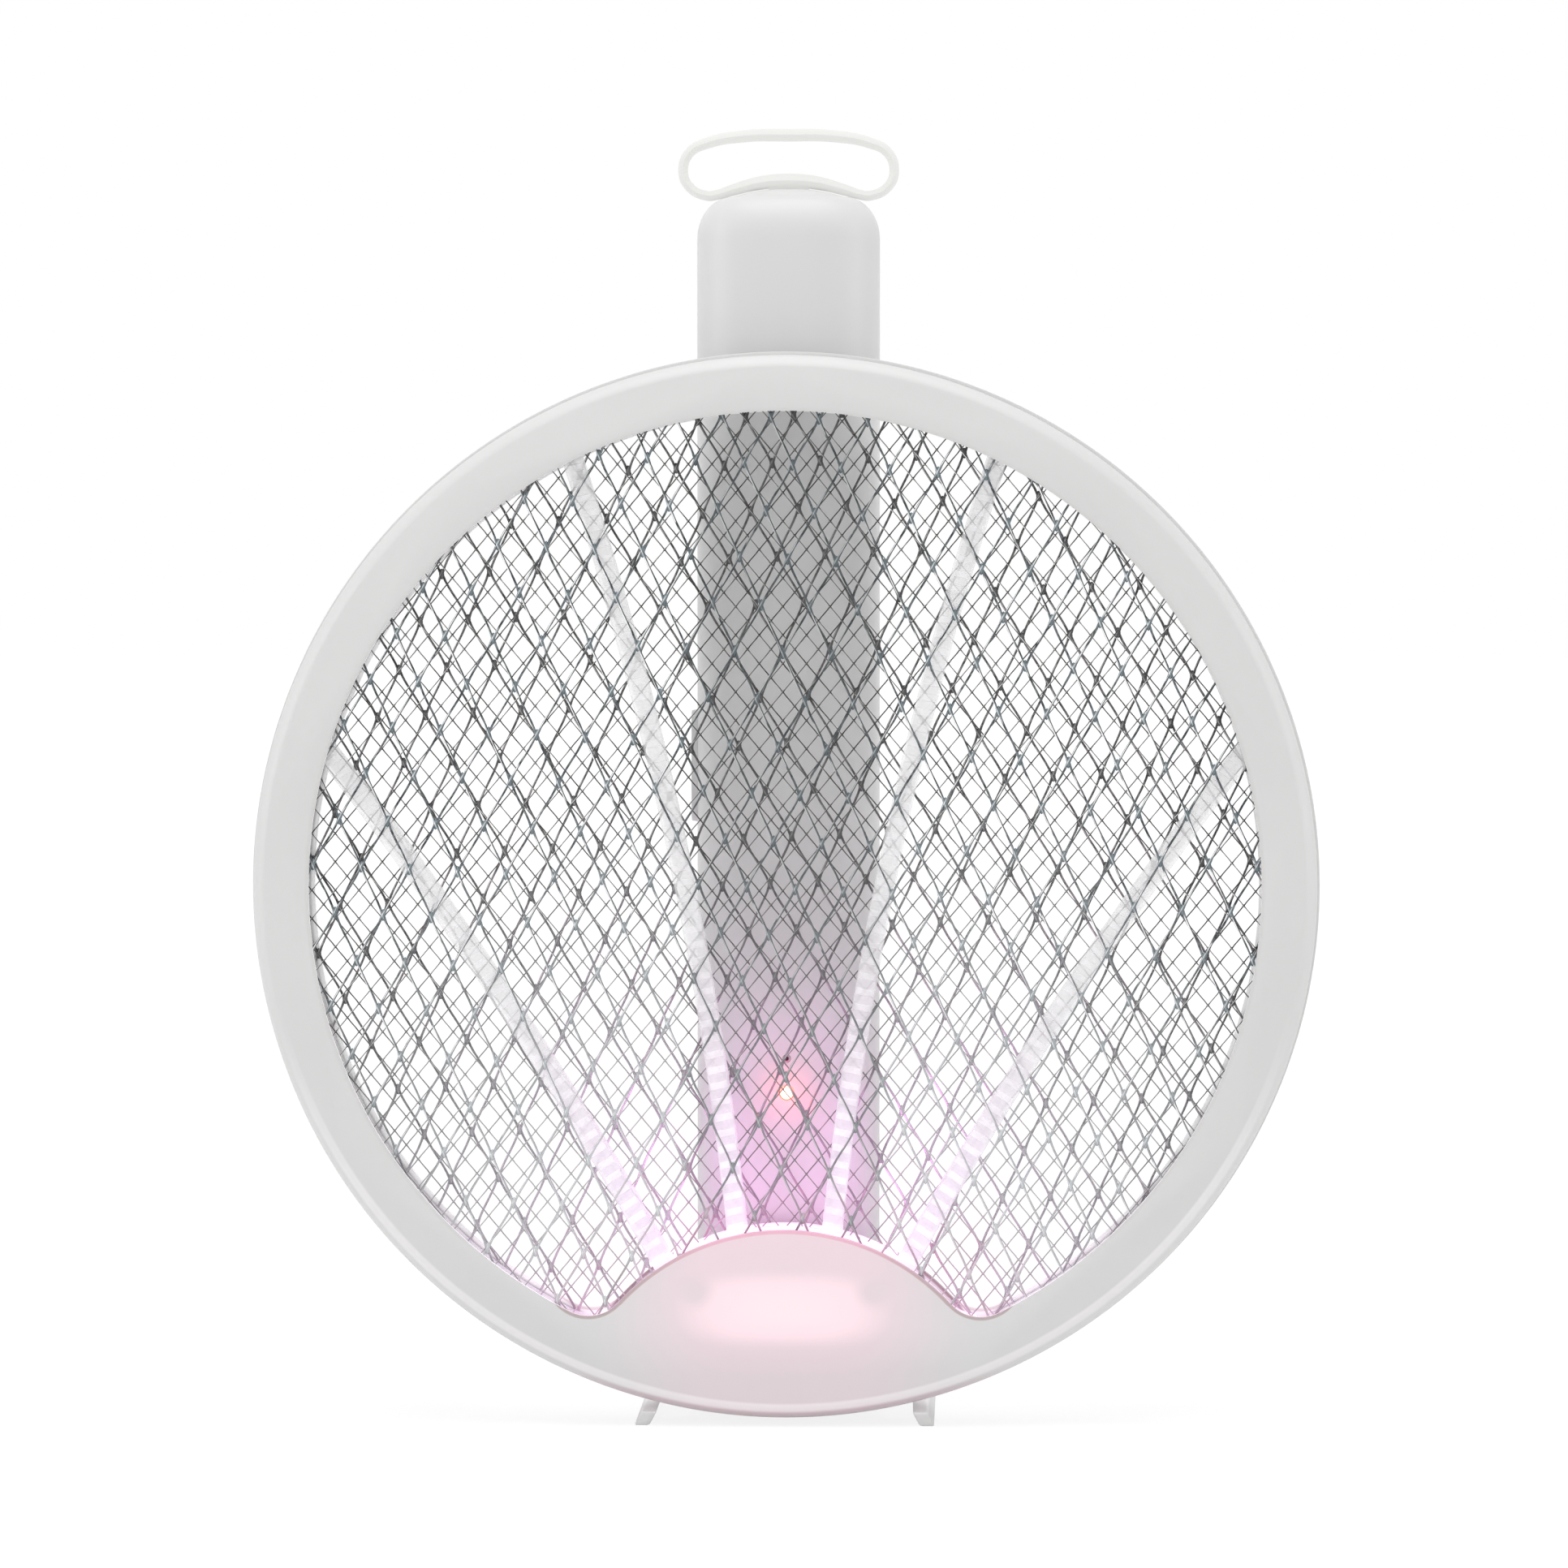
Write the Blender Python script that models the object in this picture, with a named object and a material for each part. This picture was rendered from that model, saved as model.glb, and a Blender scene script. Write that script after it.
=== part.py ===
"""A folding electric insect trap, folded upright on its flip-out stand.

Units are metres, +Z is up and -Y is the side that the user looks at.
A round frame holds three wire nets: a live one in the middle and a guard on each side of it.
A handle with the battery and the circuit is folded up behind the frame, on a pin across its foot.
Two splayed legs are keyed to the ends of the same pin and carry the whole thing.
The model is worked out round the ring's centre, and the ring_centre empty stands it on its feet.
"""

from math import asin, atan2, cos, hypot, pi, radians, sin, sqrt, tan

import bmesh
import bpy
from mathutils import Matrix, Vector

# The gap that is left between two pieces that touch on the real object.
FIT = 0.0003

# Ring frame, in two halves that meet at the seam plane y = 0.
RING_RADIUS = 0.1100
FRAME_HALF_DEPTH = 0.0090
FRAME_WALL = 0.0020
RIM_WIDTH = 0.0115
OPENING_RADIUS = RING_RADIUS - RIM_WIDTH
SHOULDER_RADIUS = 0.0026
OPENING_EDGE_RADIUS = 0.0008
REAR_STEP = 0.0008  # the rear half stands this far proud of the front one

# Hub: the part of the frame under the arch that cuts into the opening.
ARCH_RADIUS = 0.0466
ARCH_RISE = 0.0276  # how far the arch's top stands above the opening's foot
ARCH_FILLET = 0.0084

# Nets, and the clear grids that keep them apart.
STACK_BORDER = 0.0054  # how far the nets and grids reach under the frame
NET_THICKNESS = 0.0006
NET_CLIP = 0.0012  # the nets' gaps end this far outside the opening
NET_LEAST_GAP_AREA = 14.0e-6
GUARD_GAP_WIDTH = 0.0200
GUARD_GAP_HEIGHT = 0.0390
GUARD_STRAND = 0.0011
GUARD_TILT = radians(3.0)
LIVE_GAP_WIDTH = 0.0246
LIVE_GAP_HEIGHT = 0.0296
LIVE_STRAND = 0.0007
GRID_INSET = 0.0008
GRID_GLOW_RISE = 0.0012  # the grids' lit edge stands this far above the arch
GRID_GLOW_ANGLE = radians(30.0)

# Clear ribs on each side of the middle: where each meets the opening's circle and the arch,
# as angles from straight up at the centres of the two, and its bow as a share of its length.
RIB_WIDTH = 0.0044
RIB_RUNS = (
    (radians(26.6), radians(12.6), 0.029),
    (radians(74.0), radians(33.0), 0.021),
)
RIB_OVERLAP = 0.0042  # how far each end runs on into the clear ring
RIB_STEPS = 12

# Ultraviolet lamps under the arch.
LAMP_COUNT = 6
LAMP_SIZE = 0.0030
LAMP_HEIGHT = 0.0012
LAMP_SPREAD = radians(50.0)
LAMP_BOARD_THICKNESS = 0.0012
LAMP_BOARD_WIDTH = 0.0080
LAMP_BOARD_OVERHANG = radians(8.0)

# Screws that hold the two frame halves together.
FRAME_SCREW_ANGLES = [radians(a) for a in (-150, -100, -50, 50, 100, 150)]
SCREW_INSET = 0.0037  # from the ring's outside to the screws' circle
BOSS_RADIUS = 0.0020
SCREW_HEAD_RADIUS = 0.0018
SCREW_HEAD_HEIGHT = 0.0011
SCREW_SHANK_RADIUS = 0.0009
SCREW_CLEARANCE = 0.0002
SCREW_GRIP = 0.0045  # how deep a screw goes into its boss
SCREW_SOCKET = 0.45  # the socket's radius at its floor, as a share of the head's
SCREW_BREAK = 0.1  # the broken edges' width on the head's top, as a share of its radius
SCREW_EDGE = 0.3  # how far the head's edge is broken, as a share of its height
SCREW_TIP = 0.7  # the tip's radius, as a share of the shank's
SCREW_SIDES = 8
BOSS_SIDES = 12

# Handle, as it stands folded behind the ring.
HANDLE_WIDTH = 0.0384
HANDLE_DEPTH = 0.0300
HANDLE_SQUARENESS = 2.6
HANDLE_WALL = 0.0018
HANDLE_GAP = 0.0020  # between the frame's back and the handle
HANDLE_REACH = 0.2385  # from the hinge axis to the crown of the handle
DOME_HEIGHT = 0.0106
CROWN_RADIUS = 0.0400
DOME_CORNER = 0.0072
DOME_STEPS = 5
SIDE_POINTS = 14

# Hinge: a fork on the hub, a knuckle on the handle and a pin through both.
PIVOT_RISE = 0.0170  # the hinge axis above the ring's foot
PIN_RADIUS = 0.0030
PIN_RUNNING_GAP = 0.0001
PIN_SIDES = 20
EAR_SETBACK = 0.0002  # the ears are this much inside the handle's depth
EAR_THICKNESS = 0.0077
FORK_WIDTH = 0.0422
FORK_BASE = 0.0016
KNUCKLE_SETBACK = 0.0004
KNUCKLE_STEPS = 14
FLANGE_THICKNESS = 0.0013
SPIGOT_LENGTH = 0.0140
SPIGOT_WALL = 0.0022
FORK_SCREW_SPREAD = 0.0090

# Stand: two legs keyed to the pin's square ends.
LEG_THICKNESS = 0.0028
LEG_BOSS_RADIUS = 0.0090
LEG_SPLAY = radians(27.7)
LEG_BEND_DROP = 0.0063  # the leg runs straight down this far under the pin, then out
FOOT_CLEARANCE = 0.0010  # from the ring's foot down to the floor
FOOT_FRONT = -0.0060  # how far forward the feet reach
FOOT_HEIGHT = 0.0030
STORED_LEG_CLEARANCE = 0.0010
RING_TO_LEG_CLEARANCE = 0.0008
LEG_SIDE_GAP = 0.0004
PIN_KEY_SIDE = 0.0040
PIN_KEY_GAP = 0.0001
CAP_RADIUS = 0.0060
CAP_THICKNESS = 0.0012
CAP_TAPER = 0.0009

# Battery, with the rest of the handle's inside set out below it and above the hinge.
BATTERY_RADIUS = 0.0090
BATTERY_LENGTH = 0.0650
BATTERY_SIDES = 24
BATTERY_TO_CROWN = 0.0355
BATTERY_BOTTOM = HANDLE_REACH - BATTERY_TO_CROWN - BATTERY_LENGTH
CONTACT_THICKNESS = 0.0004
CONTACT_WIDTH = 0.0126
BOARD_WIDTH = 0.0250
BOARD_BOTTOM = 0.0330
BOARD_TOP = BATTERY_BOTTOM - 0.0140
BOARD_THICKNESS = 0.0016
BOARD_SETBACK = 0.0040  # behind the handle's parting plane

# Controls and lamps of the handle; heights are above the hinge axis.
TRIGGER_HEIGHT = BOARD_TOP - 0.0070
TRIGGER_LENGTH = 0.0248
TRIGGER_WIDTH = 0.0070
TRIGGER_PROUD = 0.0012
TRIGGER_FLANGE = 0.0012
TRIGGER_TRAVEL = 0.0008
TRIGGER_TAPER = (0.82, 0.94)  # the button's width and length at its face, as shares
SWITCH_HEIGHT = BOARD_TOP - 0.0340
SWITCH_TRAVEL = 0.0035  # to each side of the middle
SWITCH_KNOB = (0.0060, 0.0080)  # width and length of its grip
SWITCH_PROUD = 0.0009
SWITCH_PLATE_THICKNESS = 0.0010
SWITCH_PLATE_BORDER = 0.0012
RED_LAMP_HEIGHT = BOARD_BOTTOM + 0.0160
RED_LAMP_RADIUS = 0.0015
LAMP_SIDES = 12
CHARGE_LAMP_HEIGHT = RED_LAMP_HEIGHT + 0.0072
CHARGE_LAMP_RADIUS = 0.0008
LAMP_PROUD = 0.0004
USB_HEIGHT = BOARD_BOTTOM + 0.0110
USB_SIZE = (0.0092, 0.0034)
USB_WALL = 0.0004
HANDLE_SCREW_HEIGHTS = (BOARD_BOTTOM - 0.0090, BATTERY_BOTTOM - 0.0080, HANDLE_REACH - 0.0245)
HANDLE_BOSS_RADIUS = 0.0028

# Parts on the main board; their heights are above its lower end.
TRANSFORMER_SIZE = (0.0150, 0.0100, 0.0130)
TRANSFORMER_RISE = 0.0360
CAPACITOR_SIZE = (0.0050, 0.0080, 0.0110)
CAPACITOR_RISE = 0.0530
CAPACITOR_SPACING = 0.0046
CAPACITOR_EDGE = 0.0008
SLIDE_SWITCH_SIZE = (0.0080, 0.0120)
TRIGGER_SWITCH_SIDE = 0.0060

# Hanging loop of silicone: half of its centreline, from the top round to the crown,
# as (x, height above the handle's crown, thickness).
LOOP_HALF = [
    (0.0000, 0.0110, 0.0025),
    (0.0092, 0.0108, 0.0024),
    (0.0170, 0.0095, 0.0023),
    (0.0208, 0.0076, 0.0022),
    (0.0222, 0.0039, 0.0021),
    (0.0210, 0.0006, 0.0021),
    (0.0172, -0.0013, 0.0021),
    (0.0147, -0.0010, 0.0021),
    (0.0118, 0.0000, 0.0022),
    (0.0058, 0.0016, 0.0027),
    (0.0000, 0.0019, 0.0029),
]
LOOP_BAND_WIDTH = 0.0050
LOOP_SIDES = 8
LOOP_TAB_WIDTH = 0.0084
LOOP_TAB_DEPTH = 0.0026
LOOP_HEAD_WIDTH = 0.0140
LOOP_HEAD_CLEARANCE = 0.0011  # between the head and the crown's inside, in the middle
LOOP_HEAD_HEIGHT = 0.0024

# Places that follow from the sizes above.
ARCH_TOP_DROP = OPENING_RADIUS - ARCH_RISE
SCREW_CIRCLE_RADIUS = RING_RADIUS - SCREW_INSET
PIVOT_DROP = RING_RADIUS - PIVOT_RISE
FOOT_DROP = RING_RADIUS + REAR_STEP + FOOT_CLEARANCE
EAR_RADIUS = HANDLE_DEPTH / 2 - EAR_SETBACK
KNUCKLE_RADIUS = HANDLE_DEPTH / 2 - KNUCKLE_SETBACK
PIVOT_Y = FRAME_HALF_DEPTH + HANDLE_GAP + HANDLE_DEPTH / 2
FOOT_REAR = 2 * PIVOT_Y - FRAME_HALF_DEPTH - STORED_LEG_CLEARANCE
DEPTH_MIDDLE = (FOOT_REAR - FRAME_HALF_DEPTH) / 2
ARCH_CENTRE_DROP = ARCH_TOP_DROP + ARCH_RADIUS
GUARD_FACE = FRAME_HALF_DEPTH - FRAME_WALL - FIT  # outer face of each guard net
GRID_OUTER = GUARD_FACE - NET_THICKNESS - FIT
GRID_INNER = NET_THICKNESS / 2 + FIT
EAR_OUTER = FORK_WIDTH / 2
EAR_INNER = EAR_OUTER - EAR_THICKNESS
LEG_INNER = EAR_OUTER + LEG_SIDE_GAP
CAVITY = (HANDLE_WIDTH / 2 - HANDLE_WALL, HANDLE_DEPTH / 2 - HANDLE_WALL)
FLANGE_BOTTOM = EAR_RADIUS + FIT
SHELL_BOTTOM = FLANGE_BOTTOM + FLANGE_THICKNESS + FIT

TRIGGER_FLANGE_FACE = FIT - CAVITY[0] * (
    1 - ((TRIGGER_WIDTH / 2 + TRIGGER_FLANGE) / CAVITY[1]) ** HANDLE_SQUARENESS
) ** (1 / HANDLE_SQUARENESS)

COLOURS = {
    "white_abs": ((0.86, 0.86, 0.85), 0.38, 0.0),
    "handle_abs": ((0.84, 0.84, 0.84), 0.36, 0.0),
    "steel_net": ((0.46, 0.49, 0.51), 0.32, 1.0),
    "clear_acrylic": ((0.93, 0.93, 0.97), 0.08, 0.0),
    "silicone": ((0.93, 0.93, 0.92), 0.55, 0.0),
    "steel": ((0.62, 0.63, 0.64), 0.30, 1.0),
    "circuit_board": ((0.05, 0.30, 0.12), 0.45, 0.0),
    "uv_lamp": ((0.80, 0.66, 0.95), 0.20, 0.0),
    "red_lamp": ((0.90, 0.06, 0.06), 0.15, 0.0),
    "red_plastic": ((0.62, 0.12, 0.08), 0.30, 0.0),
    "battery_wrap": ((0.10, 0.32, 0.62), 0.40, 0.0),
    "black_plastic": ((0.04, 0.04, 0.05), 0.45, 0.0),
    "grey_plastic": ((0.62, 0.62, 0.63), 0.45, 0.0),
    "copper": ((0.80, 0.45, 0.25), 0.35, 1.0),
}


# ---------------------------------------------------------------- scene and materials


def clear_scene():
    for old in list(bpy.data.objects):
        bpy.data.objects.remove(old, do_unlink=True)


def material(name):
    """The named Principled material, made the first time that it is asked for."""
    made = bpy.data.materials.get(name)
    if made:
        return made
    colour, roughness, metallic = COLOURS[name]
    made = bpy.data.materials.new(name)
    made.use_nodes = True
    shader = made.node_tree.nodes["Principled BSDF"]
    shader.inputs["Base Color"].default_value = (*colour, 1.0)
    shader.inputs["Roughness"].default_value = roughness
    shader.inputs["Metallic"].default_value = metallic
    return made


def empty(name, location, parent=None):
    made = bpy.data.objects.new(name, None)
    bpy.context.scene.collection.objects.link(made)
    made.parent = parent
    made.location = location
    return made


def place(name, bm, material_name, parent, location=(0, 0, 0), smooth=30):
    """Turns a bmesh into an object with its faces pointing out."""
    bmesh.ops.recalc_face_normals(bm, faces=bm.faces)
    mesh = bpy.data.meshes.new(name)
    bm.to_mesh(mesh)
    bm.free()
    mesh.shade_smooth()
    mesh.set_sharp_from_angle(angle=radians(smooth))
    made = bpy.data.objects.new(name, mesh)
    bpy.context.scene.collection.objects.link(made)
    made.parent = parent
    made.location = location
    if material_name:
        made.data.materials.append(material(material_name))
    return made


def tool(name, bm, parent):
    """A cutter or a joining shape, which is no part of the object itself."""
    made = place(name, bm, None, parent)
    made.hide_render = True
    made.display_type = "WIRE"
    return made


def boolean(target, operation, other):
    step = target.modifiers.new(other.name, "BOOLEAN")
    step.operation = operation
    step.solver = "EXACT"
    step.object = other
    return target


# ---------------------------------------------------------------- bmesh shapes


def box(bm, low, high):
    """Adds a box between two corners and returns its vertices."""
    low, high = Vector(low), Vector(high)
    size = high - low
    turn = Matrix.Translation((low + high) / 2) @ Matrix.Diagonal((*size, 1))
    return bmesh.ops.create_cube(bm, size=1, matrix=turn)["verts"]


def cylinder(bm, radius, start, end, sides=16, end_radius=None):
    """Adds a cylinder or cone from one point to another."""
    start, end = Vector(start), Vector(end)
    along = end - start
    turn = Matrix.Translation((start + end) / 2) @ along.to_track_quat("Z", "Y").to_matrix().to_4x4()
    return bmesh.ops.create_cone(
        bm,
        cap_ends=True,
        segments=sides,
        radius1=radius,
        radius2=radius if end_radius is None else end_radius,
        depth=along.length,
        matrix=turn,
    )["verts"]


def prism(bm, outline, low, high, axis="y"):
    """Adds a flat outline of (x, z) points, or (y, z) points for axis x, stretched along an axis."""

    def point(p, level):
        return (p[0], level, p[1]) if axis == "y" else (level, p[0], p[1])

    face = bm.faces.new([bm.verts.new(point(p, low)) for p in outline])
    grown = bmesh.ops.extrude_face_region(bm, geom=[face])["geom"]
    moved = [v for v in grown if isinstance(v, bmesh.types.BMVert)]
    shift = (0, high - low, 0) if axis == "y" else (high - low, 0, 0)
    bmesh.ops.translate(bm, verts=moved, vec=shift)
    return moved


def ring_loft(bm, loops, closed=True):
    """Joins loops of equally many points with quads; closed joins the last loop to the first."""
    rows = [[bm.verts.new(p) for p in loop] for loop in loops]
    count = len(rows[0])
    pairs = list(zip(rows, rows[1:]))
    if closed:
        pairs.append((rows[-1], rows[0]))
    for lower, upper in pairs:
        for i in range(count):
            j = (i + 1) % count
            bm.faces.new((lower[i], lower[j], upper[j], upper[i]))
    if not closed:
        bm.faces.new(rows[0])
        bm.faces.new(list(reversed(rows[-1])))
    return rows


def turned(bm, start, direction, profile, sides=10):
    """Adds a turned solid; its profile is a list of (radius, distance along the direction)."""
    start, direction = Vector(start), Vector(direction).normalized()
    across = direction.orthogonal().normalized()
    other = direction.cross(across)
    turns = [2 * pi * i / sides for i in range(sides)]
    rays = [across * cos(t) + other * sin(t) for t in turns]
    rows = [[start + direction * far + ray * radius for ray in rays] for radius, far in profile]
    ring_loft(bm, rows, closed=False)


def arc(centre, radius, start, end, steps):
    """Points on an arc in a plane, from angle start to angle end."""
    turns = [start + (end - start) * i / steps for i in range(steps + 1)]
    return [(centre[0] + radius * cos(t), centre[1] + radius * sin(t)) for t in turns]


# ---------------------------------------------------------------- the opening's outline


def fillet_centre():
    """(x, drop) of the right-hand fillet between the opening's circle and the arch."""
    from_ring = OPENING_RADIUS - ARCH_FILLET
    from_arch = ARCH_RADIUS + ARCH_FILLET
    drop = (from_ring**2 - from_arch**2 + ARCH_CENTRE_DROP**2) / (2 * ARCH_CENTRE_DROP)
    return sqrt(from_ring**2 - drop**2), drop


def outline_radius(angle, out=0.0):
    """Distance from the ring's centre to the opening's edge, at an angle from straight down.

    out moves the edge outwards, away from the opening, by that much all round.
    """
    fillet_x, fillet_drop = fillet_centre()
    side = abs((angle + pi) % (2 * pi) - pi)
    if side >= atan2(fillet_x, fillet_drop):
        return OPENING_RADIUS + out
    share = (ARCH_RADIUS - out) / (ARCH_RADIUS + ARCH_FILLET)
    tangent_x = fillet_x * share
    tangent_drop = ARCH_CENTRE_DROP + (fillet_drop - ARCH_CENTRE_DROP) * share
    if side >= atan2(tangent_x, tangent_drop):
        along = fillet_x * sin(side) + fillet_drop * cos(side)
        return along + sqrt(along**2 - fillet_x**2 - fillet_drop**2 + (ARCH_FILLET + out) ** 2)
    along = ARCH_CENTRE_DROP * cos(side)
    return along - sqrt(along**2 - ARCH_CENTRE_DROP**2 + (ARCH_RADIUS - out) ** 2)


def outline_angles(ring_steps=44, fillet_steps=3, arch_steps=12):
    """Angles from straight down that follow the outline's arcs, once round."""
    fillet_x, fillet_drop = fillet_centre()
    ring_start = atan2(fillet_x, fillet_drop)
    meeting = atan2(fillet_x, ARCH_CENTRE_DROP - fillet_drop)
    arch = []
    for x, rise in arc((0, 0), ARCH_RADIUS, pi / 2 + meeting, pi / 2 - meeting, arch_steps):
        arch.append(atan2(x, ARCH_CENTRE_DROP - rise))
    corner = arc((fillet_x, fillet_drop), ARCH_FILLET, pi / 2 + meeting, pi / 2 - ring_start, fillet_steps)
    fillet = [atan2(x, drop) for x, drop in corner[1:-1]]
    ring = [ring_start + (2 * pi - 2 * ring_start) * i / ring_steps for i in range(ring_steps + 1)]
    return arch + fillet + ring + [2 * pi - a for a in reversed(fillet)]


ANGLES = outline_angles()


def around(radius_at, depth):
    """A loop of points round the ring at one depth; radius_at maps an angle to a radius."""
    return [(radius_at(a) * sin(a), depth, -radius_at(a) * cos(a)) for a in ANGLES]


def edge_loop(out, depth):
    return around(lambda a: outline_radius(a, out), depth)


def circle_loop(radius, depth):
    return around(lambda a: radius, depth)


def ring_point(angle, radius, depth):
    return Vector((radius * sin(angle), depth, -radius * cos(angle)))


# ---------------------------------------------------------------- frame halves


def frame_half(name, facing, radius, parent):
    """One half of the frame: an open tray with the opening cut through; facing is -1 for the front."""
    outer = facing * FRAME_HALF_DEPTH
    inner = facing * (FRAME_HALF_DEPTH - FRAME_WALL)
    seam = facing * FIT / 2
    soft, edge = SHOULDER_RADIUS, OPENING_EDGE_RADIUS
    loops = [circle_loop(radius, seam)]
    for step in range(4):
        turn = pi / 2 * step / 3
        depth = outer - facing * soft * (1 - sin(turn))
        loops.append(circle_loop(radius - soft * (1 - cos(turn)), depth))
    loops += [edge_loop(edge, outer), edge_loop(0, outer - facing * edge), edge_loop(0, inner)]
    loops += [circle_loop(radius - FRAME_WALL, inner), circle_loop(radius - FRAME_WALL, seam)]
    bm = bmesh.new()
    ring_loft(bm, loops)
    return place(name, bm, "white_abs", parent)


def screw(name, parent, top, direction, length):
    """A screw whose head's top is at a point; direction points from the head to the tip."""
    head, shank = SCREW_HEAD_RADIUS, SCREW_SHANK_RADIUS
    bm = bmesh.new()
    profile = [
        (head * SCREW_SOCKET, SCREW_HEAD_HEIGHT / 2),
        (head * (SCREW_SOCKET + SCREW_BREAK), 0),
        (head * (1 - SCREW_BREAK), 0),
        (head, SCREW_HEAD_HEIGHT * SCREW_EDGE),
        (head, SCREW_HEAD_HEIGHT),
        (shank, SCREW_HEAD_HEIGHT),
        (shank * SCREW_TIP, length),
    ]
    turned(bm, top, direction, profile, SCREW_SIDES)
    return place(name, bm, "steel", parent)


def counterbore(bm, face, direction, length):
    """Cuts for a screw whose head sits just under a face; length is from the face to the hole's end."""
    head, shank = SCREW_HEAD_RADIUS + SCREW_CLEARANCE, SCREW_SHANK_RADIUS + SCREW_CLEARANCE
    seat = SCREW_HEAD_HEIGHT + 2 * FIT
    turned(bm, face, direction, [(head, -FRAME_WALL), (head, seat), (shank, seat), (shank, length)])


def build_frame(parent):
    front = frame_half("front_frame", -1, RING_RADIUS, parent)
    rear = frame_half("rear_frame", 1, RING_RADIUS + REAR_STEP, parent)
    wall_face = FRAME_HALF_DEPTH - FRAME_WALL
    front_bosses, pilots = bmesh.new(), bmesh.new()
    rear_bosses, shafts = bmesh.new(), bmesh.new()
    hole = SCREW_SHANK_RADIUS + SCREW_CLEARANCE
    for angle in FRAME_SCREW_ANGLES:

        def at(depth, angle=angle):
            return ring_point(angle, SCREW_CIRCLE_RADIUS, depth)

        overlap = FRAME_WALL / 2
        cylinder(front_bosses, BOSS_RADIUS, at(-wall_face - overlap), at(-FIT / 2), BOSS_SIDES)
        cylinder(pilots, hole, at(-SCREW_GRIP - FIT), at(FIT), SCREW_SIDES)
        cylinder(rear_bosses, BOSS_RADIUS, at(FIT / 2), at(wall_face + overlap), BOSS_SIDES)
        counterbore(shafts, at(FRAME_HALF_DEPTH), (0, -1, 0), FRAME_HALF_DEPTH + FIT)
    boolean(front, "UNION", tool("front_bosses", front_bosses, parent))
    boolean(front, "DIFFERENCE", tool("front_pilots", pilots, parent))
    boolean(rear, "UNION", tool("rear_bosses", rear_bosses, parent))
    boolean(rear, "DIFFERENCE", tool("rear_shafts", shafts, parent))
    for number, angle in enumerate(FRAME_SCREW_ANGLES, 1):
        top = ring_point(angle, SCREW_CIRCLE_RADIUS, FRAME_HALF_DEPTH - FIT)
        screw(f"frame_screw_{number}", parent, top, (0, -1, 0), FRAME_HALF_DEPTH - FIT + SCREW_GRIP)
    return rear


# ---------------------------------------------------------------- nets and clear grids


def diamond(centre, width, height, strand, tilt):
    """Corners of one gap between strands, as (x, z)."""
    half_w, half_h = width / 2, height / 2
    reach = half_w * half_h / hypot(half_w, half_h)
    keep = (reach - strand / 2) / reach
    corners = [(half_w * keep, 0), (0, half_h * keep), (-half_w * keep, 0), (0, -half_h * keep)]
    turned = []
    for x, z in corners:
        x, z = x + centre[0], z + centre[1]
        turned.append((x * cos(tilt) - z * sin(tilt), x * sin(tilt) + z * cos(tilt)))
    return turned


def net_gaps(name, width, height, strand, tilt, parent):
    """All gaps of a net as one cutter, clipped to the opening; slivers at its edge are left out."""
    gaps = bmesh.new()
    columns = int(OPENING_RADIUS / width) + 2
    rows = int(OPENING_RADIUS / height) + 2
    for row in range(-2 * rows, 2 * rows + 1):
        for column in range(-columns, columns + 1):
            centre = ((column + row % 2 / 2) * width, row * height / 2)
            if hypot(*centre) < OPENING_RADIUS + height / 2:
                prism(gaps, diamond(centre, width, height, strand, tilt), -NET_THICKNESS, NET_THICKNESS)
    raw = tool(name + "_raw_gaps", gaps, parent)
    window = bmesh.new()
    outline = [(x, z) for x, _, z in edge_loop(NET_CLIP, 0)]
    prism(window, outline, -NET_THICKNESS * 2, NET_THICKNESS * 2)
    boolean(raw, "INTERSECT", tool(name + "_window", window, parent))
    bpy.context.view_layer.update()
    clipped = bmesh.new()
    clipped.from_object(raw, bpy.context.evaluated_depsgraph_get())
    remove_slivers(clipped)
    return tool(name + "_gaps", clipped, parent)


def remove_slivers(bm):
    """Deletes each separate body whose front face is smaller than the least gap."""
    left = set(bm.verts)
    while left:
        island, queue = set(), [left.pop()]
        while queue:
            vert = queue.pop()
            island.add(vert)
            for edge in vert.link_edges:
                other = edge.other_vert(vert)
                if other in left:
                    left.discard(other)
                    queue.append(other)
        faces = {face for vert in island for face in vert.link_faces}
        area = sum(face.calc_area() for face in faces if face.normal.y < -0.5)
        if area < NET_LEAST_GAP_AREA:
            bmesh.ops.delete(bm, geom=list(island), context="VERTS")


def net(name, level, width, height, strand, tilt, parent):
    """A flat net of diamond gaps with a whole border that the frame hides."""
    bm = bmesh.new()
    outline = [(x, z) for x, _, z in edge_loop(STACK_BORDER, 0)]
    prism(bm, outline, -NET_THICKNESS / 2, NET_THICKNESS / 2)
    made = place(name, bm, "steel_net", parent)
    made.location.y = level
    gaps = net_gaps(name, width, height, strand, tilt, parent)
    gaps.location.y = level
    return boolean(made, "DIFFERENCE", gaps)


def grid_edge(angle):
    """The clear ring's inner edge: hidden by the frame, but proud of the arch where it glows."""
    rise = GRID_GLOW_RISE if abs(arch_angle(angle)) < GRID_GLOW_ANGLE else -GRID_INSET
    return outline_radius(angle, -rise)


def arch_angle(angle):
    """The angle at the arch's own centre of the outline point at an angle from straight down."""
    side = (angle + pi) % (2 * pi) - pi
    if abs(side) > pi / 3:
        return pi
    radius = outline_radius(side)
    return atan2(radius * sin(side), ARCH_CENTRE_DROP - radius * cos(side))


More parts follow.
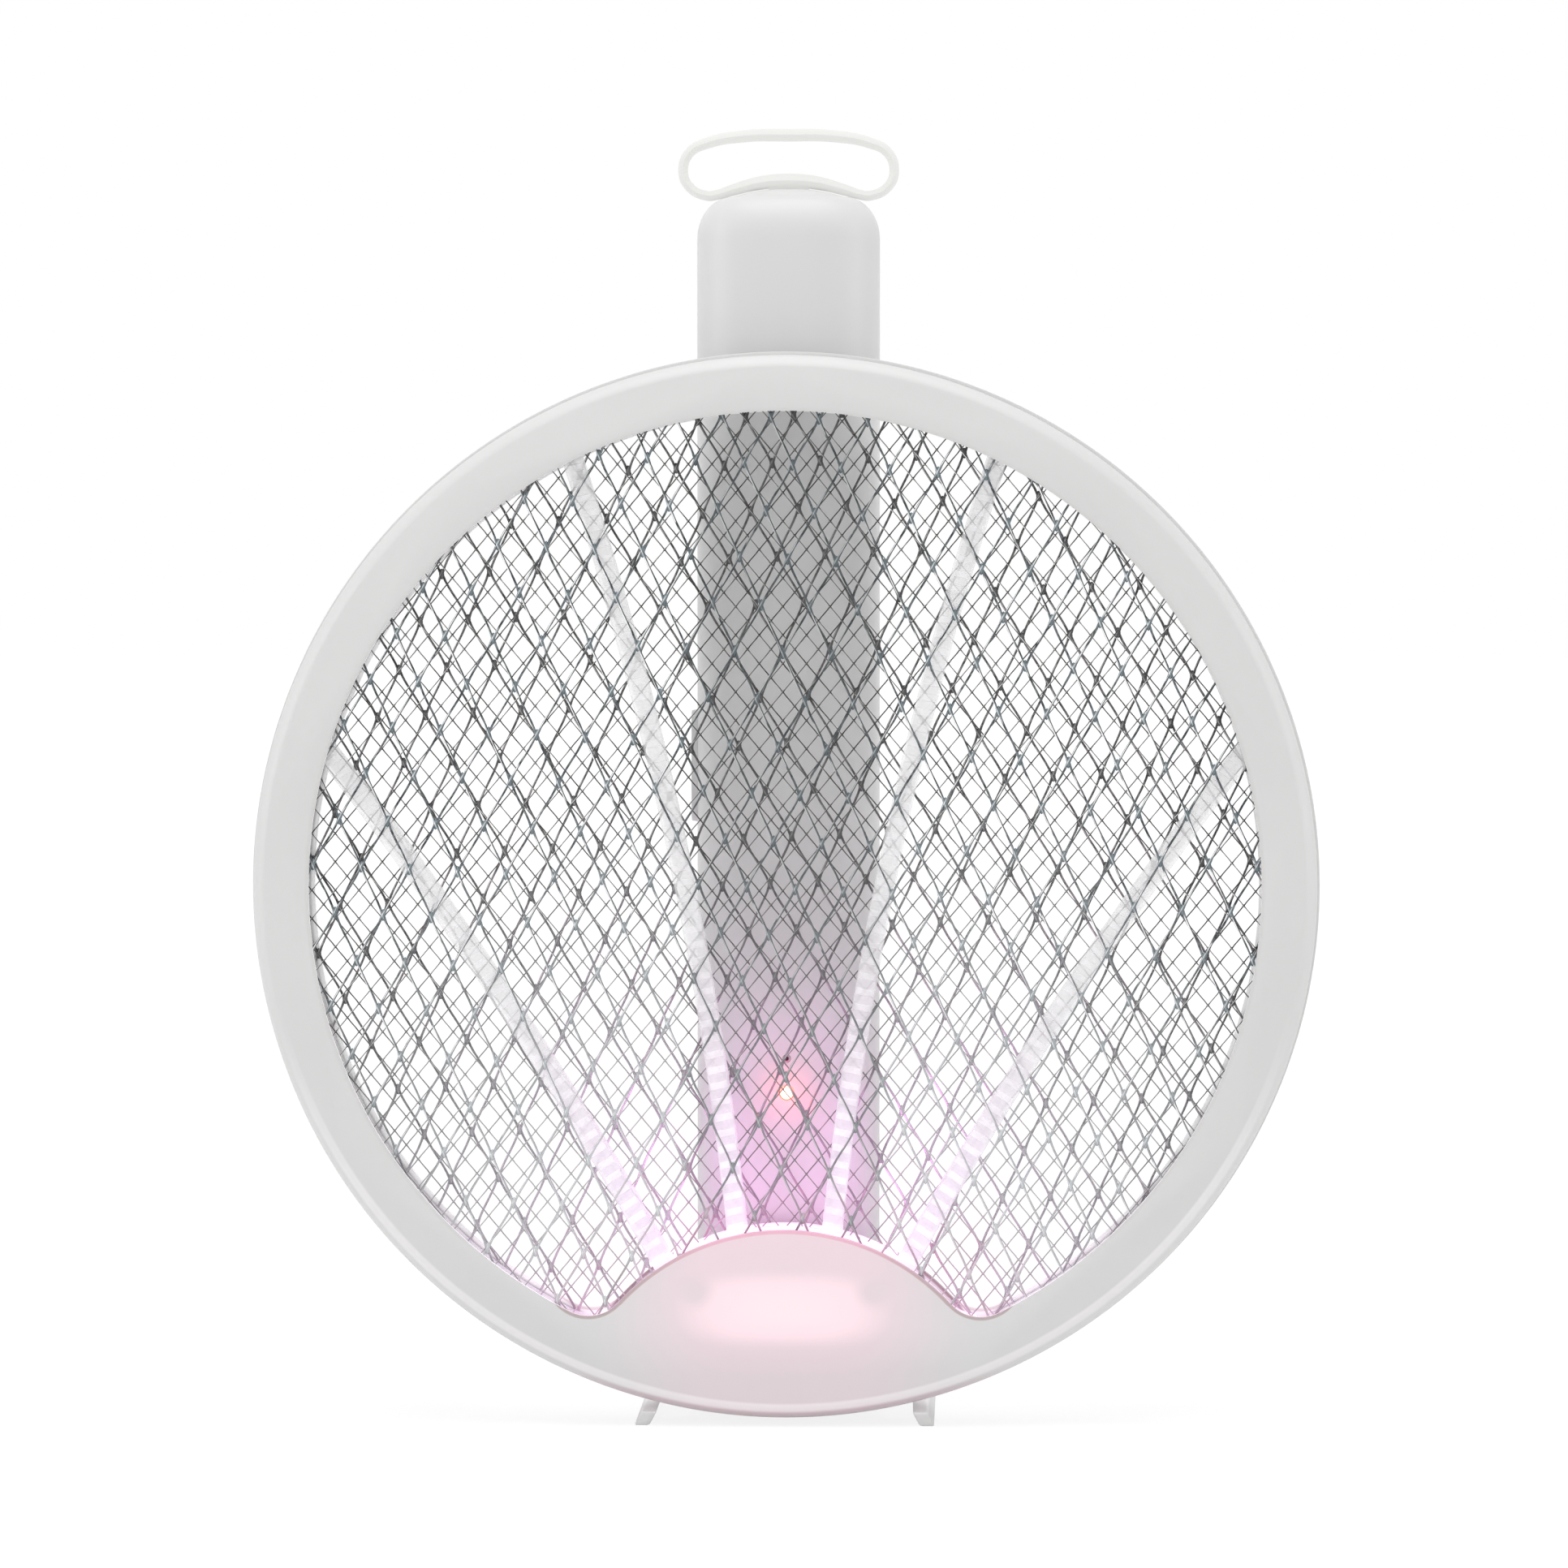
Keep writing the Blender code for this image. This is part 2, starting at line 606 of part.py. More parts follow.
def rib_path(run, side):
    """Points of a rib's centreline, which bows in towards the middle, from its outer end to the hub."""
    ring_turn, arch_turn, bow_share = run
    start = Vector((side * sin(ring_turn), cos(ring_turn))) * OPENING_RADIUS
    end = Vector((side * sin(arch_turn), cos(arch_turn))) * ARCH_RADIUS - Vector((0, ARCH_CENTRE_DROP))
    chord = end - start
    bow = chord.length * bow_share
    bulge = Vector((chord.y, -chord.x)).normalized() * side
    half = chord.length / 2
    radius = (half**2 + bow**2) / (2 * bow)
    centre = (start + end) / 2 - bulge * (radius - bow)
    sweep = asin(half / radius) + RIB_OVERLAP / radius
    points = []
    for i in range(RIB_STEPS + 1):
        turn = sweep * (2 * i / RIB_STEPS - 1)
        offset = bulge * (radius * cos(turn)) + chord.normalized() * (radius * sin(turn))
        points.append(centre + offset)
    return points


def rib(bm, run, side, low, high):
    """Adds one clear bar that crosses the opening between two depths."""
    path = rib_path(run, side)
    loops = []
    for i, point in enumerate(path):
        along = (path[min(i + 1, len(path) - 1)] - path[max(i - 1, 0)]).normalized()
        across = Vector((-along.y, along.x)) * RIB_WIDTH / 2
        a, b = point + across, point - across
        loops.append([(a.x, low, a.y), (a.x, high, a.y), (b.x, high, b.y), (b.x, low, b.y)])
    ring_loft(bm, loops, closed=False)


def clear_grid(name, facing, parent):
    """The clear ring and its four ribs, which keep a guard net off the live one."""
    low, high = sorted((facing * GRID_OUTER, facing * GRID_INNER))
    bm = bmesh.new()
    inner = [around(grid_edge, low), around(grid_edge, high)]
    ring_loft(bm, [edge_loop(STACK_BORDER, high), edge_loop(STACK_BORDER, low), *inner])
    grid = place(name, bm, "clear_acrylic", parent)
    ribs = bmesh.new()
    for run in RIB_RUNS:
        for side in (-1, 1):
            rib(ribs, run, side, low, high)
    return boolean(grid, "UNION", tool(name + "_ribs", ribs, parent))


def build_nets(parent):
    guard = (GUARD_GAP_WIDTH, GUARD_GAP_HEIGHT, GUARD_STRAND)
    level = GUARD_FACE - NET_THICKNESS / 2
    net("front_guard_net", -level, *guard, -GUARD_TILT, parent)
    net("rear_guard_net", level, *guard, GUARD_TILT, parent)
    net("live_net", 0, LIVE_GAP_WIDTH, LIVE_GAP_HEIGHT, LIVE_STRAND, 0, parent)
    clear_grid("front_clear_grid", -1, parent)
    clear_grid("rear_clear_grid", 1, parent)


# ---------------------------------------------------------------- lamps under the arch


def arch_point(turn, radius, depth):
    """A point at a radius from the arch's centre, turned from straight up."""
    return Vector((radius * sin(turn), depth, -ARCH_CENTRE_DROP + radius * cos(turn)))


def build_lamps(parent):
    lamp_top = ARCH_RADIUS - STACK_BORDER - FIT
    board_top = lamp_top - LAMP_HEIGHT - FIT
    reach = LAMP_SPREAD / 2 + LAMP_BOARD_OVERHANG
    steps = 12
    loops = []
    for i in range(steps + 1):
        turn = reach * (2 * i / steps - 1)
        corners = []
        for radius, side in ((board_top, -1), (board_top, 1), (board_top - LAMP_BOARD_THICKNESS, 1),
                             (board_top - LAMP_BOARD_THICKNESS, -1)):
            corners.append(arch_point(turn, radius, side * LAMP_BOARD_WIDTH / 2))
        loops.append(corners)
    bm = bmesh.new()
    ring_loft(bm, loops, closed=False)
    place("lamp_board", bm, "circuit_board", parent)
    for number in range(LAMP_COUNT):
        turn = LAMP_SPREAD * (number / (LAMP_COUNT - 1) - 0.5)
        bm = bmesh.new()
        half = LAMP_SIZE / 2
        box(bm, (-half, -half, 0), (half, half, LAMP_HEIGHT))
        lamp = place(f"uv_lamp_{number + 1}", bm, "uv_lamp", parent)
        lamp.location = arch_point(turn, board_top + FIT, 0)
        lamp.rotation_euler.y = turn


# ---------------------------------------------------------------- hinge fork, knuckle and pin


def rounded_lug(radius, reach, steps=14):
    """(y, z) outline round the pin's axis: a half circle behind it and a square end at y = -reach."""
    return arc((0, 0), radius, -pi / 2, pi / 2, steps) + [(-reach, radius), (-reach, -radius)]


def build_fork(ring, pivot):
    """The fork is screwed to the hub's back and carries the pin."""
    reach = PIVOT_Y - FRAME_HALF_DEPTH - FIT
    base_face = reach - FORK_BASE
    bm = bmesh.new()
    prism(bm, rounded_lug(EAR_RADIUS, reach), -EAR_OUTER, EAR_OUTER, axis="x")
    fork = place("hinge_fork", bm, "white_abs", pivot)
    slot = bmesh.new()
    margin = EAR_RADIUS + FRAME_WALL
    box(slot, (-EAR_INNER, -base_face, -margin), (EAR_INNER, margin, margin))
    boolean(fork, "DIFFERENCE", tool("fork_slot", slot, pivot))
    holes = bmesh.new()
    bore = PIN_RADIUS + PIN_RUNNING_GAP
    cylinder(holes, bore, (-EAR_OUTER - FIT, 0, 0), (EAR_OUTER + FIT, 0, 0), PIN_SIDES)
    shafts = bmesh.new()
    middle = (EAR_OUTER + EAR_INNER) / 2
    hole = SCREW_SHANK_RADIUS + SCREW_CLEARANCE
    inside = FRAME_HALF_DEPTH - FRAME_WALL - FIT
    number = 0
    for side in (-1, 1):
        for up in (-1, 1):
            number += 1
            x, z = side * middle, up * FORK_SCREW_SPREAD
            cylinder(holes, hole, (x, -reach - FIT, z), (x, -reach + SCREW_GRIP + FIT, z), 10)
            start = (x, inside, z - PIVOT_DROP)
            cylinder(shafts, hole, start, (x, FRAME_HALF_DEPTH + FIT, z - PIVOT_DROP), 10)
            top = (x, inside - SCREW_HEAD_HEIGHT, z - PIVOT_DROP)
            length = SCREW_HEAD_HEIGHT + FRAME_WALL + 2 * FIT + SCREW_GRIP - FIT
            screw(f"fork_screw_{number}", ring, top, (0, 1, 0), length)
    boolean(fork, "DIFFERENCE", tool("fork_holes", holes, pivot))
    return tool("fork_screw_shafts", shafts, ring)


def build_pin(pivot):
    """The pin is round between the legs and square inside them."""
    bm = bmesh.new()
    round_end = EAR_OUTER + LEG_SIDE_GAP / 2
    cylinder(bm, PIN_RADIUS, (-round_end, 0, 0), (round_end, 0, 0), PIN_SIDES)
    pin = place("hinge_pin", bm, "steel", pivot)
    key = bmesh.new()
    half = PIN_KEY_SIDE / 2
    end = LEG_INNER + LEG_THICKNESS
    box(key, (-end, -half, -half), (end, half, half))
    boolean(pin, "UNION", tool("pin_key", key, pivot))


def section(half_width, half_depth, height, points):
    """One closed loop of the handle's cross-section."""
    loop = []
    for i in range(points):
        turn = 2 * pi * i / points
        loop.append((*superellipse(turn, half_width, half_depth), height))
    return loop


def superellipse(turn, half_width, half_depth):
    power = 2 / HANDLE_SQUARENESS
    x = half_width * abs(cos(turn)) ** power * (1 if cos(turn) >= 0 else -1)
    y = half_depth * abs(sin(turn)) ** power * (1 if sin(turn) >= 0 else -1)
    return x, y


def build_knuckle(pivot):
    """The handle's end piece: a barrel on the pin, a flange and a hollow spigot inside the shells."""
    half_w, half_d = HANDLE_WIDTH / 2, HANDLE_DEPTH / 2
    bm = bmesh.new()
    barrel = EAR_INNER - FIT
    upper = FLANGE_BOTTOM + FLANGE_THICKNESS / 2
    outline = arc((0, 0), KNUCKLE_RADIUS, pi, 2 * pi, KNUCKLE_STEPS)
    outline += [(KNUCKLE_RADIUS, upper), (-KNUCKLE_RADIUS, upper)]
    prism(bm, outline, -barrel, barrel, axis="x")
    knuckle = place("hinge_knuckle", bm, "handle_abs", pivot)
    flange = bmesh.new()
    points = 2 * SIDE_POINTS
    top = FLANGE_BOTTOM + FLANGE_THICKNESS
    spigot_w, spigot_d = CAVITY[0] - FIT, CAVITY[1] - FIT
    ring_loft(
        flange,
        [
            section(half_w, half_d, FLANGE_BOTTOM, points),
            section(half_w, half_d, top, points),
            section(spigot_w, spigot_d, top, points),
            section(spigot_w, spigot_d, top + SPIGOT_LENGTH, points),
            section(spigot_w - SPIGOT_WALL, spigot_d - SPIGOT_WALL, top + SPIGOT_LENGTH, points),
            section(spigot_w - SPIGOT_WALL, spigot_d - SPIGOT_WALL, top + SPIGOT_WALL, points),
        ],
        closed=False,
    )
    boolean(knuckle, "UNION", tool("knuckle_flange", flange, pivot))
    bore = bmesh.new()
    radius = PIN_RADIUS + PIN_RUNNING_GAP
    cylinder(bore, radius, (-half_w, 0, 0), (half_w, 0, 0), PIN_SIDES)
    hole = SCREW_SHANK_RADIUS + SCREW_CLEARANCE
    height = HANDLE_SCREW_HEIGHTS[0]
    cylinder(bore, hole, (0, 0, height), (0, half_d, height), 10)
    boolean(knuckle, "DIFFERENCE", tool("knuckle_bores", bore, pivot))


# ---------------------------------------------------------------- stand legs


def leg_outline():
    """(y, z) outline of a leg round the pin's axis, seen from the side."""
    foot = PIVOT_DROP - FOOT_DROP
    inner_side = LEG_INNER - (foot + FOOT_HEIGHT + LEG_BEND_DROP) * tan(LEG_SPLAY)
    ring_bottom = sqrt((RING_RADIUS + REAR_STEP) ** 2 - inner_side**2)
    under_ring = PIVOT_DROP - ring_bottom - RING_TO_LEG_CLEARANCE
    rear = FOOT_REAR - PIVOT_Y
    front = FOOT_FRONT - PIVOT_Y
    behind_ring = FRAME_HALF_DEPTH - PIVOT_Y + STORED_LEG_CLEARANCE
    boss = arc((0, 0), LEG_BOSS_RADIUS, -pi / 6, pi * 7 / 6, 12)
    return boss + [
        (behind_ring, under_ring),
        (front, foot + FOOT_HEIGHT),
        (front, foot),
        (rear, foot),
        (rear, foot + FOOT_HEIGHT),
    ]


def build_leg(name, side, pivot):
    """A leg runs straight down beside the fork, then splays outwards to its foot."""
    bm = bmesh.new()
    outer = LEG_INNER + LEG_THICKNESS
    prism(bm, leg_outline(), LEG_INNER, outer, axis="x")
    bend = (0, 0, -LEG_BEND_DROP)
    geometry = [*bm.verts, *bm.edges, *bm.faces]
    bmesh.ops.bisect_plane(bm, geom=geometry, plane_co=bend, plane_no=(0, 0, 1))
    for vert in bm.verts:
        below = max(0.0, -LEG_BEND_DROP - vert.co.z)
        vert.co.x += below * tan(LEG_SPLAY)
        if vert.co.x > outer + below * tan(LEG_SPLAY) - LEG_THICKNESS / 2 and below > 0:
            vert.co.x += LEG_THICKNESS * (1 / cos(LEG_SPLAY) - 1)
        vert.co.x *= side
    leg = place(name, bm, "white_abs", pivot)
    hole = bmesh.new()
    half = PIN_KEY_SIDE / 2 + PIN_KEY_GAP
    low, high = sorted((side * (LEG_INNER - FIT), side * (outer + FIT)))
    box(hole, (low, -half, -half), (high, half, half))
    boolean(leg, "DIFFERENCE", tool(name + "_key_hole", hole, pivot))
    cap = bmesh.new()
    face = outer + FIT
    top = side * (face + CAP_THICKNESS)
    cylinder(cap, CAP_RADIUS, (side * face, 0, 0), (top, 0, 0), PIN_SIDES, CAP_RADIUS - CAP_TAPER)
    place(name.replace("stand_leg", "pin_cap"), cap, "white_abs", pivot)


# ---------------------------------------------------------------- handle shells


def dome_profile():
    """(share of the half width, drop under the crown) from the straight side to the crown."""
    half = HANDLE_WIDTH / 2
    flat = half - DOME_CORNER
    sag = CROWN_RADIUS - sqrt(CROWN_RADIUS**2 - flat**2)
    points = []
    for i in range(DOME_STEPS):
        turn = pi / 2 * i / DOME_STEPS
        x = flat + DOME_CORNER * cos(turn)
        points.append((x / half, sag + (DOME_HEIGHT - sag) * (1 - sin(turn))))
    for share in (1.0, 0.7, 0.4):
        x = flat * share
        points.append((x / half, CROWN_RADIUS - sqrt(CROWN_RADIUS**2 - x**2)))
    return points


def half_shell(name, facing, pivot):
    """Front or rear half of the handle: a half tube that closes over the crown."""
    half_w, half_d = HANDLE_WIDTH / 2, HANDLE_DEPTH / 2
    seam = facing * FIT / 2
    steps = SIDE_POINTS

    def row(width, depth, height):
        loop = []
        for i in range(steps + 1):
            x, y = superellipse(pi * i / steps, width, depth - FIT / 2)
            loop.append((x, seam + facing * abs(y), height))
        return loop

    heights = [(1.0, HANDLE_REACH - SHELL_BOTTOM), *dome_profile()]
    inner_w, inner_d = CAVITY
    bm = bmesh.new()
    outer = [row(half_w * s, half_d * s, HANDLE_REACH - d) for s, d in heights]
    top = HANDLE_REACH - HANDLE_WALL
    inner = [row(inner_w * s, inner_d * s, top - d) for s, d in heights[1:]]
    inner.insert(0, row(inner_w, inner_d, SHELL_BOTTOM))
    grids = [[[bm.verts.new(p) for p in loop] for loop in rows] for rows in (outer, inner)]
    poles = [bm.verts.new((0, seam, HANDLE_REACH)), bm.verts.new((0, seam, top))]
    for grid, pole in zip(grids, poles):
        for lower, upper in zip(grid, grid[1:]):
            for i in range(steps):
                bm.faces.new((lower[i], lower[i + 1], upper[i + 1], upper[i]))
        for i in range(steps):
            bm.faces.new((grid[-1][i], grid[-1][i + 1], pole))
    out, within = grids
    for i in range(steps):
        bm.faces.new((out[0][i], out[0][i + 1], within[0][i + 1], within[0][i]))
    for side in (0, steps):
        for k in range(len(out) - 1):
            bm.faces.new((out[k][side], out[k + 1][side], within[k + 1][side], within[k][side]))
        bm.faces.new((out[-1][side], poles[0], poles[1], within[-1][side]))
    return place(name, bm, "handle_abs", pivot)


def depth_at(x, half_width=HANDLE_WIDTH / 2, half_depth=HANDLE_DEPTH / 2):
    """How far the handle's section reaches behind its middle at a distance x to the side."""
    return half_depth * (1 - abs(x / half_width) ** HANDLE_SQUARENESS) ** (1 / HANDLE_SQUARENESS)


def build_handle(pivot):
    front = half_shell("handle_front_shell", -1, pivot)
    rear = half_shell("handle_rear_shell", 1, pivot)
    half_w, half_d = HANDLE_WIDTH / 2, HANDLE_DEPTH / 2
    inner_face = CAVITY[1]
    hole = SCREW_SHANK_RADIUS + SCREW_CLEARANCE

    posts, front_cuts = bmesh.new(), bmesh.new()
    rear_posts, rear_cuts = bmesh.new(), bmesh.new()
    for number, height in enumerate(HANDLE_SCREW_HEIGHTS, 1):
        boss = number > 1  # the lowest screw goes into the knuckle's spigot
        if boss:
            root = inner_face + HANDLE_WALL / 2
            cylinder(posts, HANDLE_BOSS_RADIUS, (0, -root, height), (0, -FIT / 2, height), BOSS_SIDES)
            cylinder(front_cuts, hole, (0, -SCREW_GRIP - FIT, height), (0, FIT, height), SCREW_SIDES)
            cylinder(rear_posts, HANDLE_BOSS_RADIUS, (0, FIT / 2, height), (0, root, height), BOSS_SIDES)
        counterbore(rear_cuts, (0, half_d, height), (0, -1, 0), half_d + FIT)
        top = (0, half_d - FIT, height)
        length = half_d - FIT + (SCREW_GRIP if boss else -(inner_face - FIT - SCREW_GRIP))
        screw(f"handle_screw_{number}", pivot, top, (0, -1, 0), length)

    out = half_d + HANDLE_WALL
    for height, radius in ((RED_LAMP_HEIGHT, RED_LAMP_RADIUS), (CHARGE_LAMP_HEIGHT, CHARGE_LAMP_RADIUS)):
        inside = (0, HANDLE_WALL - inner_face, height)
        cylinder(front_cuts, radius + SCREW_CLEARANCE, (0, -out, height), inside, LAMP_SIDES)
    width, length = SWITCH_KNOB
    half_slot = length / 2 + SWITCH_TRAVEL + FIT
    low = (-width / 2 - FIT, inner_face - HANDLE_WALL, SWITCH_HEIGHT - half_slot)
    box(rear_cuts, low, (width / 2 + FIT, out, SWITCH_HEIGHT + half_slot))
    usb_w, usb_h = USB_SIZE[0] / 2 + FIT, USB_SIZE[1] / 2 + FIT
    low = (-usb_w, inner_face - HANDLE_WALL, USB_HEIGHT - usb_h)
    box(rear_cuts, low, (usb_w, out, USB_HEIGHT + usb_h))

    slot = bmesh.new()
    slot_w, slot_l = TRIGGER_WIDTH / 2 + FIT, TRIGGER_LENGTH / 2 + FIT
    box(
        slot,
        (-half_w - HANDLE_WALL, -slot_w, TRIGGER_HEIGHT - slot_l),
        (-CAVITY[0] + HANDLE_WALL, slot_w, TRIGGER_HEIGHT + slot_l),
    )
    tab_w, tab_d = LOOP_TAB_WIDTH / 2 + FIT, LOOP_TAB_DEPTH / 2 + FIT
    box(slot, (-tab_w, -tab_d, HANDLE_REACH - 3 * HANDLE_WALL), (tab_w, tab_d, HANDLE_REACH + HANDLE_WALL))
    openings = tool("trigger_and_loop_slots", slot, pivot)
    boolean(front, "UNION", tool("front_posts", posts, pivot))
    boolean(front, "DIFFERENCE", tool("front_shell_cuts", front_cuts, pivot))
    boolean(rear, "UNION", tool("rear_posts", rear_posts, pivot))
    boolean(rear, "DIFFERENCE", tool("rear_shell_cuts", rear_cuts, pivot))
    boolean(front, "DIFFERENCE", openings)
    boolean(rear, "DIFFERENCE", openings)


def build_controls(pivot):
    """The side trigger and the slide switch's knob, each with its origin where it moves."""
    half_w, half_l = TRIGGER_WIDTH / 2, TRIGGER_LENGTH / 2
    outside = -HANDLE_WIDTH / 2 - TRIGGER_PROUD
    inside = TRIGGER_FLANGE_FACE + TRIGGER_FLANGE
    bm = bmesh.new()
    outline = arc((0, half_l - half_w), half_w, 0, pi, 8) + arc((0, half_w - half_l), half_w, pi, 2 * pi, 8)
    moved = prism(bm, outline, inside - TRIGGER_FLANGE / 2, outside, axis="x")
    bmesh.ops.scale(bm, verts=moved, vec=(1, *TRIGGER_TAPER))
    trigger = place("trigger_button", bm, "handle_abs", pivot)
    trigger.location.z = TRIGGER_HEIGHT
    flange = bmesh.new()
    low = (TRIGGER_FLANGE_FACE, -half_w - TRIGGER_FLANGE, -half_l - TRIGGER_FLANGE)
    box(flange, low, (inside, half_w + TRIGGER_FLANGE, half_l + TRIGGER_FLANGE))
    joined = tool("trigger_flange", flange, pivot)
    joined.location.z = TRIGGER_HEIGHT
    boolean(trigger, "UNION", joined)

    width, length = SWITCH_KNOB
    bm = bmesh.new()
    plate_top = depth_at(width / 2 + SWITCH_PLATE_BORDER, *CAVITY) - FIT
    plate_low = plate_top - SWITCH_PLATE_THICKNESS
    grip_top = HANDLE_DEPTH / 2 + SWITCH_PROUD
    ridge = length / 8
    outline = [(plate_low, -length / 2), (plate_low, length / 2)]
    for i in range(4, -5, -1):
        outline.append((grip_top - (ridge / 3 if i % 2 else 0), ridge * i))
    prism(bm, outline, -width / 2, width / 2, axis="x")
    knob = place("switch_knob", bm, "grey_plastic", pivot)
    knob.location.z = SWITCH_HEIGHT
    plate = bmesh.new()
    reach = length / 2 + 2 * SWITCH_TRAVEL + SWITCH_PLATE_BORDER
    side = width / 2 + SWITCH_PLATE_BORDER
    box(plate, (-side, plate_low, -reach), (side, plate_top, reach))
    joined = tool("switch_plate", plate, pivot)
    joined.location.z = SWITCH_HEIGHT
    boolean(knob, "UNION", joined)
    return plate_low


def build_circuit(pivot, knob_underside):
    front_face = BOARD_SETBACK
    back_face = BOARD_SETBACK + BOARD_THICKNESS
    bm = bmesh.new()
    half = BOARD_WIDTH / 2
    box(bm, (-half, front_face, BOARD_BOTTOM), (half, back_face, BOARD_TOP))
    place("main_board", bm, "circuit_board", pivot)

    bm = bmesh.new()
    width, depth, height = TRANSFORMER_SIZE
    low = BOARD_BOTTOM + TRANSFORMER_RISE
    box(bm, (-width / 2, front_face - FIT - depth, low), (width / 2, front_face - FIT, low + height))
    place("step_up_transformer", bm, "copper", pivot)
    width, depth, height = CAPACITOR_SIZE
    for number, side in ((1, -1), (2, 1)):
        bm = bmesh.new()
        x = side * (width + CAPACITOR_SPACING) / 2
        low = BOARD_BOTTOM + CAPACITOR_RISE
        verts = box(
            bm,
            (x - width / 2, front_face - FIT - depth, low),
            (x + width / 2, front_face - FIT, low + height),
        )
        edges = list({e for v in verts for e in v.link_edges})
        bmesh.ops.bevel(bm, geom=edges, offset=CAPACITOR_EDGE, segments=1)
        place(f"film_capacitor_{number}", bm, "red_plastic", pivot)

    for name, height, radius, colour in (
        ("red_lamp", RED_LAMP_HEIGHT, RED_LAMP_RADIUS, "red_lamp"),
        ("charge_lamp", CHARGE_LAMP_HEIGHT, CHARGE_LAMP_RADIUS, "black_plastic"),
    ):
        bm = bmesh.new()
        tip = -HANDLE_DEPTH / 2 - LAMP_PROUD
        profile = [(radius / 2, 0), (radius, radius / 2), (radius, front_face - FIT - tip)]
        turned(bm, (0, tip, height), (0, 1, 0), profile, LAMP_SIDES)
        place(name, bm, colour, pivot)

    usb_w, usb_h = USB_SIZE[0] / 2, USB_SIZE[1] / 2
    mouth = depth_at(usb_w) - FIT
    bm = bmesh.new()
    box(bm, (-usb_w, back_face + FIT, USB_HEIGHT - usb_h), (usb_w, mouth, USB_HEIGHT + usb_h))
    socket = place("usb_socket", bm, "steel", pivot)
    bore = bmesh.new()
    inner_w, inner_h = usb_w - USB_WALL, usb_h - USB_WALL
    floor = back_face + FIT + 2 * USB_WALL
    box(bore, (-inner_w, floor, USB_HEIGHT - inner_h), (inner_w, mouth + FIT, USB_HEIGHT + inner_h))
    boolean(socket, "DIFFERENCE", tool("usb_mouth", bore, pivot))

    bm = bmesh.new()
    side, reach = SLIDE_SWITCH_SIZE[0] / 2, SLIDE_SWITCH_SIZE[1] / 2
    body_top = knob_underside - FIT
    box(bm, (-side, back_face + FIT, SWITCH_HEIGHT - reach), (side, body_top, SWITCH_HEIGHT + reach))
    place("slide_switch", bm, "black_plastic", pivot)
    bm = bmesh.new()
    touch = TRIGGER_FLANGE_FACE + TRIGGER_FLANGE + TRIGGER_TRAVEL + FIT
    low = (touch, -TRIGGER_SWITCH_SIDE / 2, TRIGGER_HEIGHT - TRIGGER_SWITCH_SIDE / 2)
    high = (touch + TRIGGER_SWITCH_SIDE, front_face - FIT, TRIGGER_HEIGHT + TRIGGER_SWITCH_SIDE / 2)
    box(bm, low, high)
    place("trigger_switch", bm, "black_plastic", pivot)

    bm = bmesh.new()
    top = BATTERY_BOTTOM + BATTERY_LENGTH
    cylinder(bm, BATTERY_RADIUS, (0, 0, BATTERY_BOTTOM), (0, 0, top), BATTERY_SIDES)
    place("battery_cell", bm, "battery_wrap", pivot)
    bottom = BATTERY_BOTTOM - FIT - CONTACT_THICKNESS
    for name, level in (("battery_contact_bottom", bottom), ("battery_contact_top", top + FIT)):
        bm = bmesh.new()
        width = CONTACT_WIDTH / 2
        reach = depth_at(width, *CAVITY) - FIT
        box(bm, (-width, -reach, level), (width, reach, level + CONTACT_THICKNESS))
        place(name, bm, "steel", pivot)


# ---------------------------------------------------------------- hanging loop


def loop_points():
    """The whole centreline: (x, height, thickness), once round, the left half mirrored."""
    left = [(-x, z, t) for x, z, t in reversed(LOOP_HALF[1:-1])]
    return smooth_loop(LOOP_HALF + left)


def smooth_loop(points, between=2):
    """Catmull-Rom points on a closed run, so that the loop bends evenly."""
    made = []
    count = len(points)
    for i in range(count):
        a, b, c, d = (Vector(points[(i + k) % count]) for k in (-1, 0, 1, 2))
        for step in range(between):
            t = step / between
            bend = (2 * a - 5 * b + 4 * c - d) * t**2 + (3 * b - a - 3 * c + d) * t**3
            made.append(b + ((c - a) * t + bend) / 2)
    return made


def build_loop(pivot):
    points = loop_points()
    loops = []
    for i, (x, z, thickness) in enumerate(points):
        before, after = points[i - 1], points[(i + 1) % len(points)]
        along = Vector((after[0] - before[0], after[1] - before[1])).normalized()
        normal = Vector((along.y, -along.x))
        row = []
        for k in range(LOOP_SIDES):
            turn = 2 * pi * (k + 0.5) / LOOP_SIDES
            out = normal * (thickness / 2 * cos(turn) / cos(pi / LOOP_SIDES))
            depth = LOOP_BAND_WIDTH / 2 * sin(turn) / cos(pi / LOOP_SIDES)
            row.append((x + out.x, depth, HANDLE_REACH + z + out.y))
        loops.append(row)
    bm = bmesh.new()
    ring_loft(bm, loops)
    loop = place("hanging_loop", bm, "silicone", pivot)
    tab = bmesh.new()
    half_w, half_d = LOOP_TAB_WIDTH / 2, LOOP_TAB_DEPTH / 2
    neck_top = HANDLE_REACH + LOOP_HALF[-1][1]
    inside = HANDLE_REACH - HANDLE_WALL - LOOP_HEAD_CLEARANCE
    box(tab, (-half_w, -half_d, inside - LOOP_HEAD_HEIGHT / 2), (half_w, half_d, neck_top))
    boolean(loop, "UNION", tool("loop_tab", tab, pivot))
    head = bmesh.new()
    reach, half_head = LOOP_HEAD_WIDTH / 2, half_d + HANDLE_WALL
    box(head, (-reach, -half_head, inside - LOOP_HEAD_HEIGHT), (reach, half_head, inside))
    boolean(loop, "UNION", tool("loop_head", head, pivot))


# ---------------------------------------------------------------- the whole object


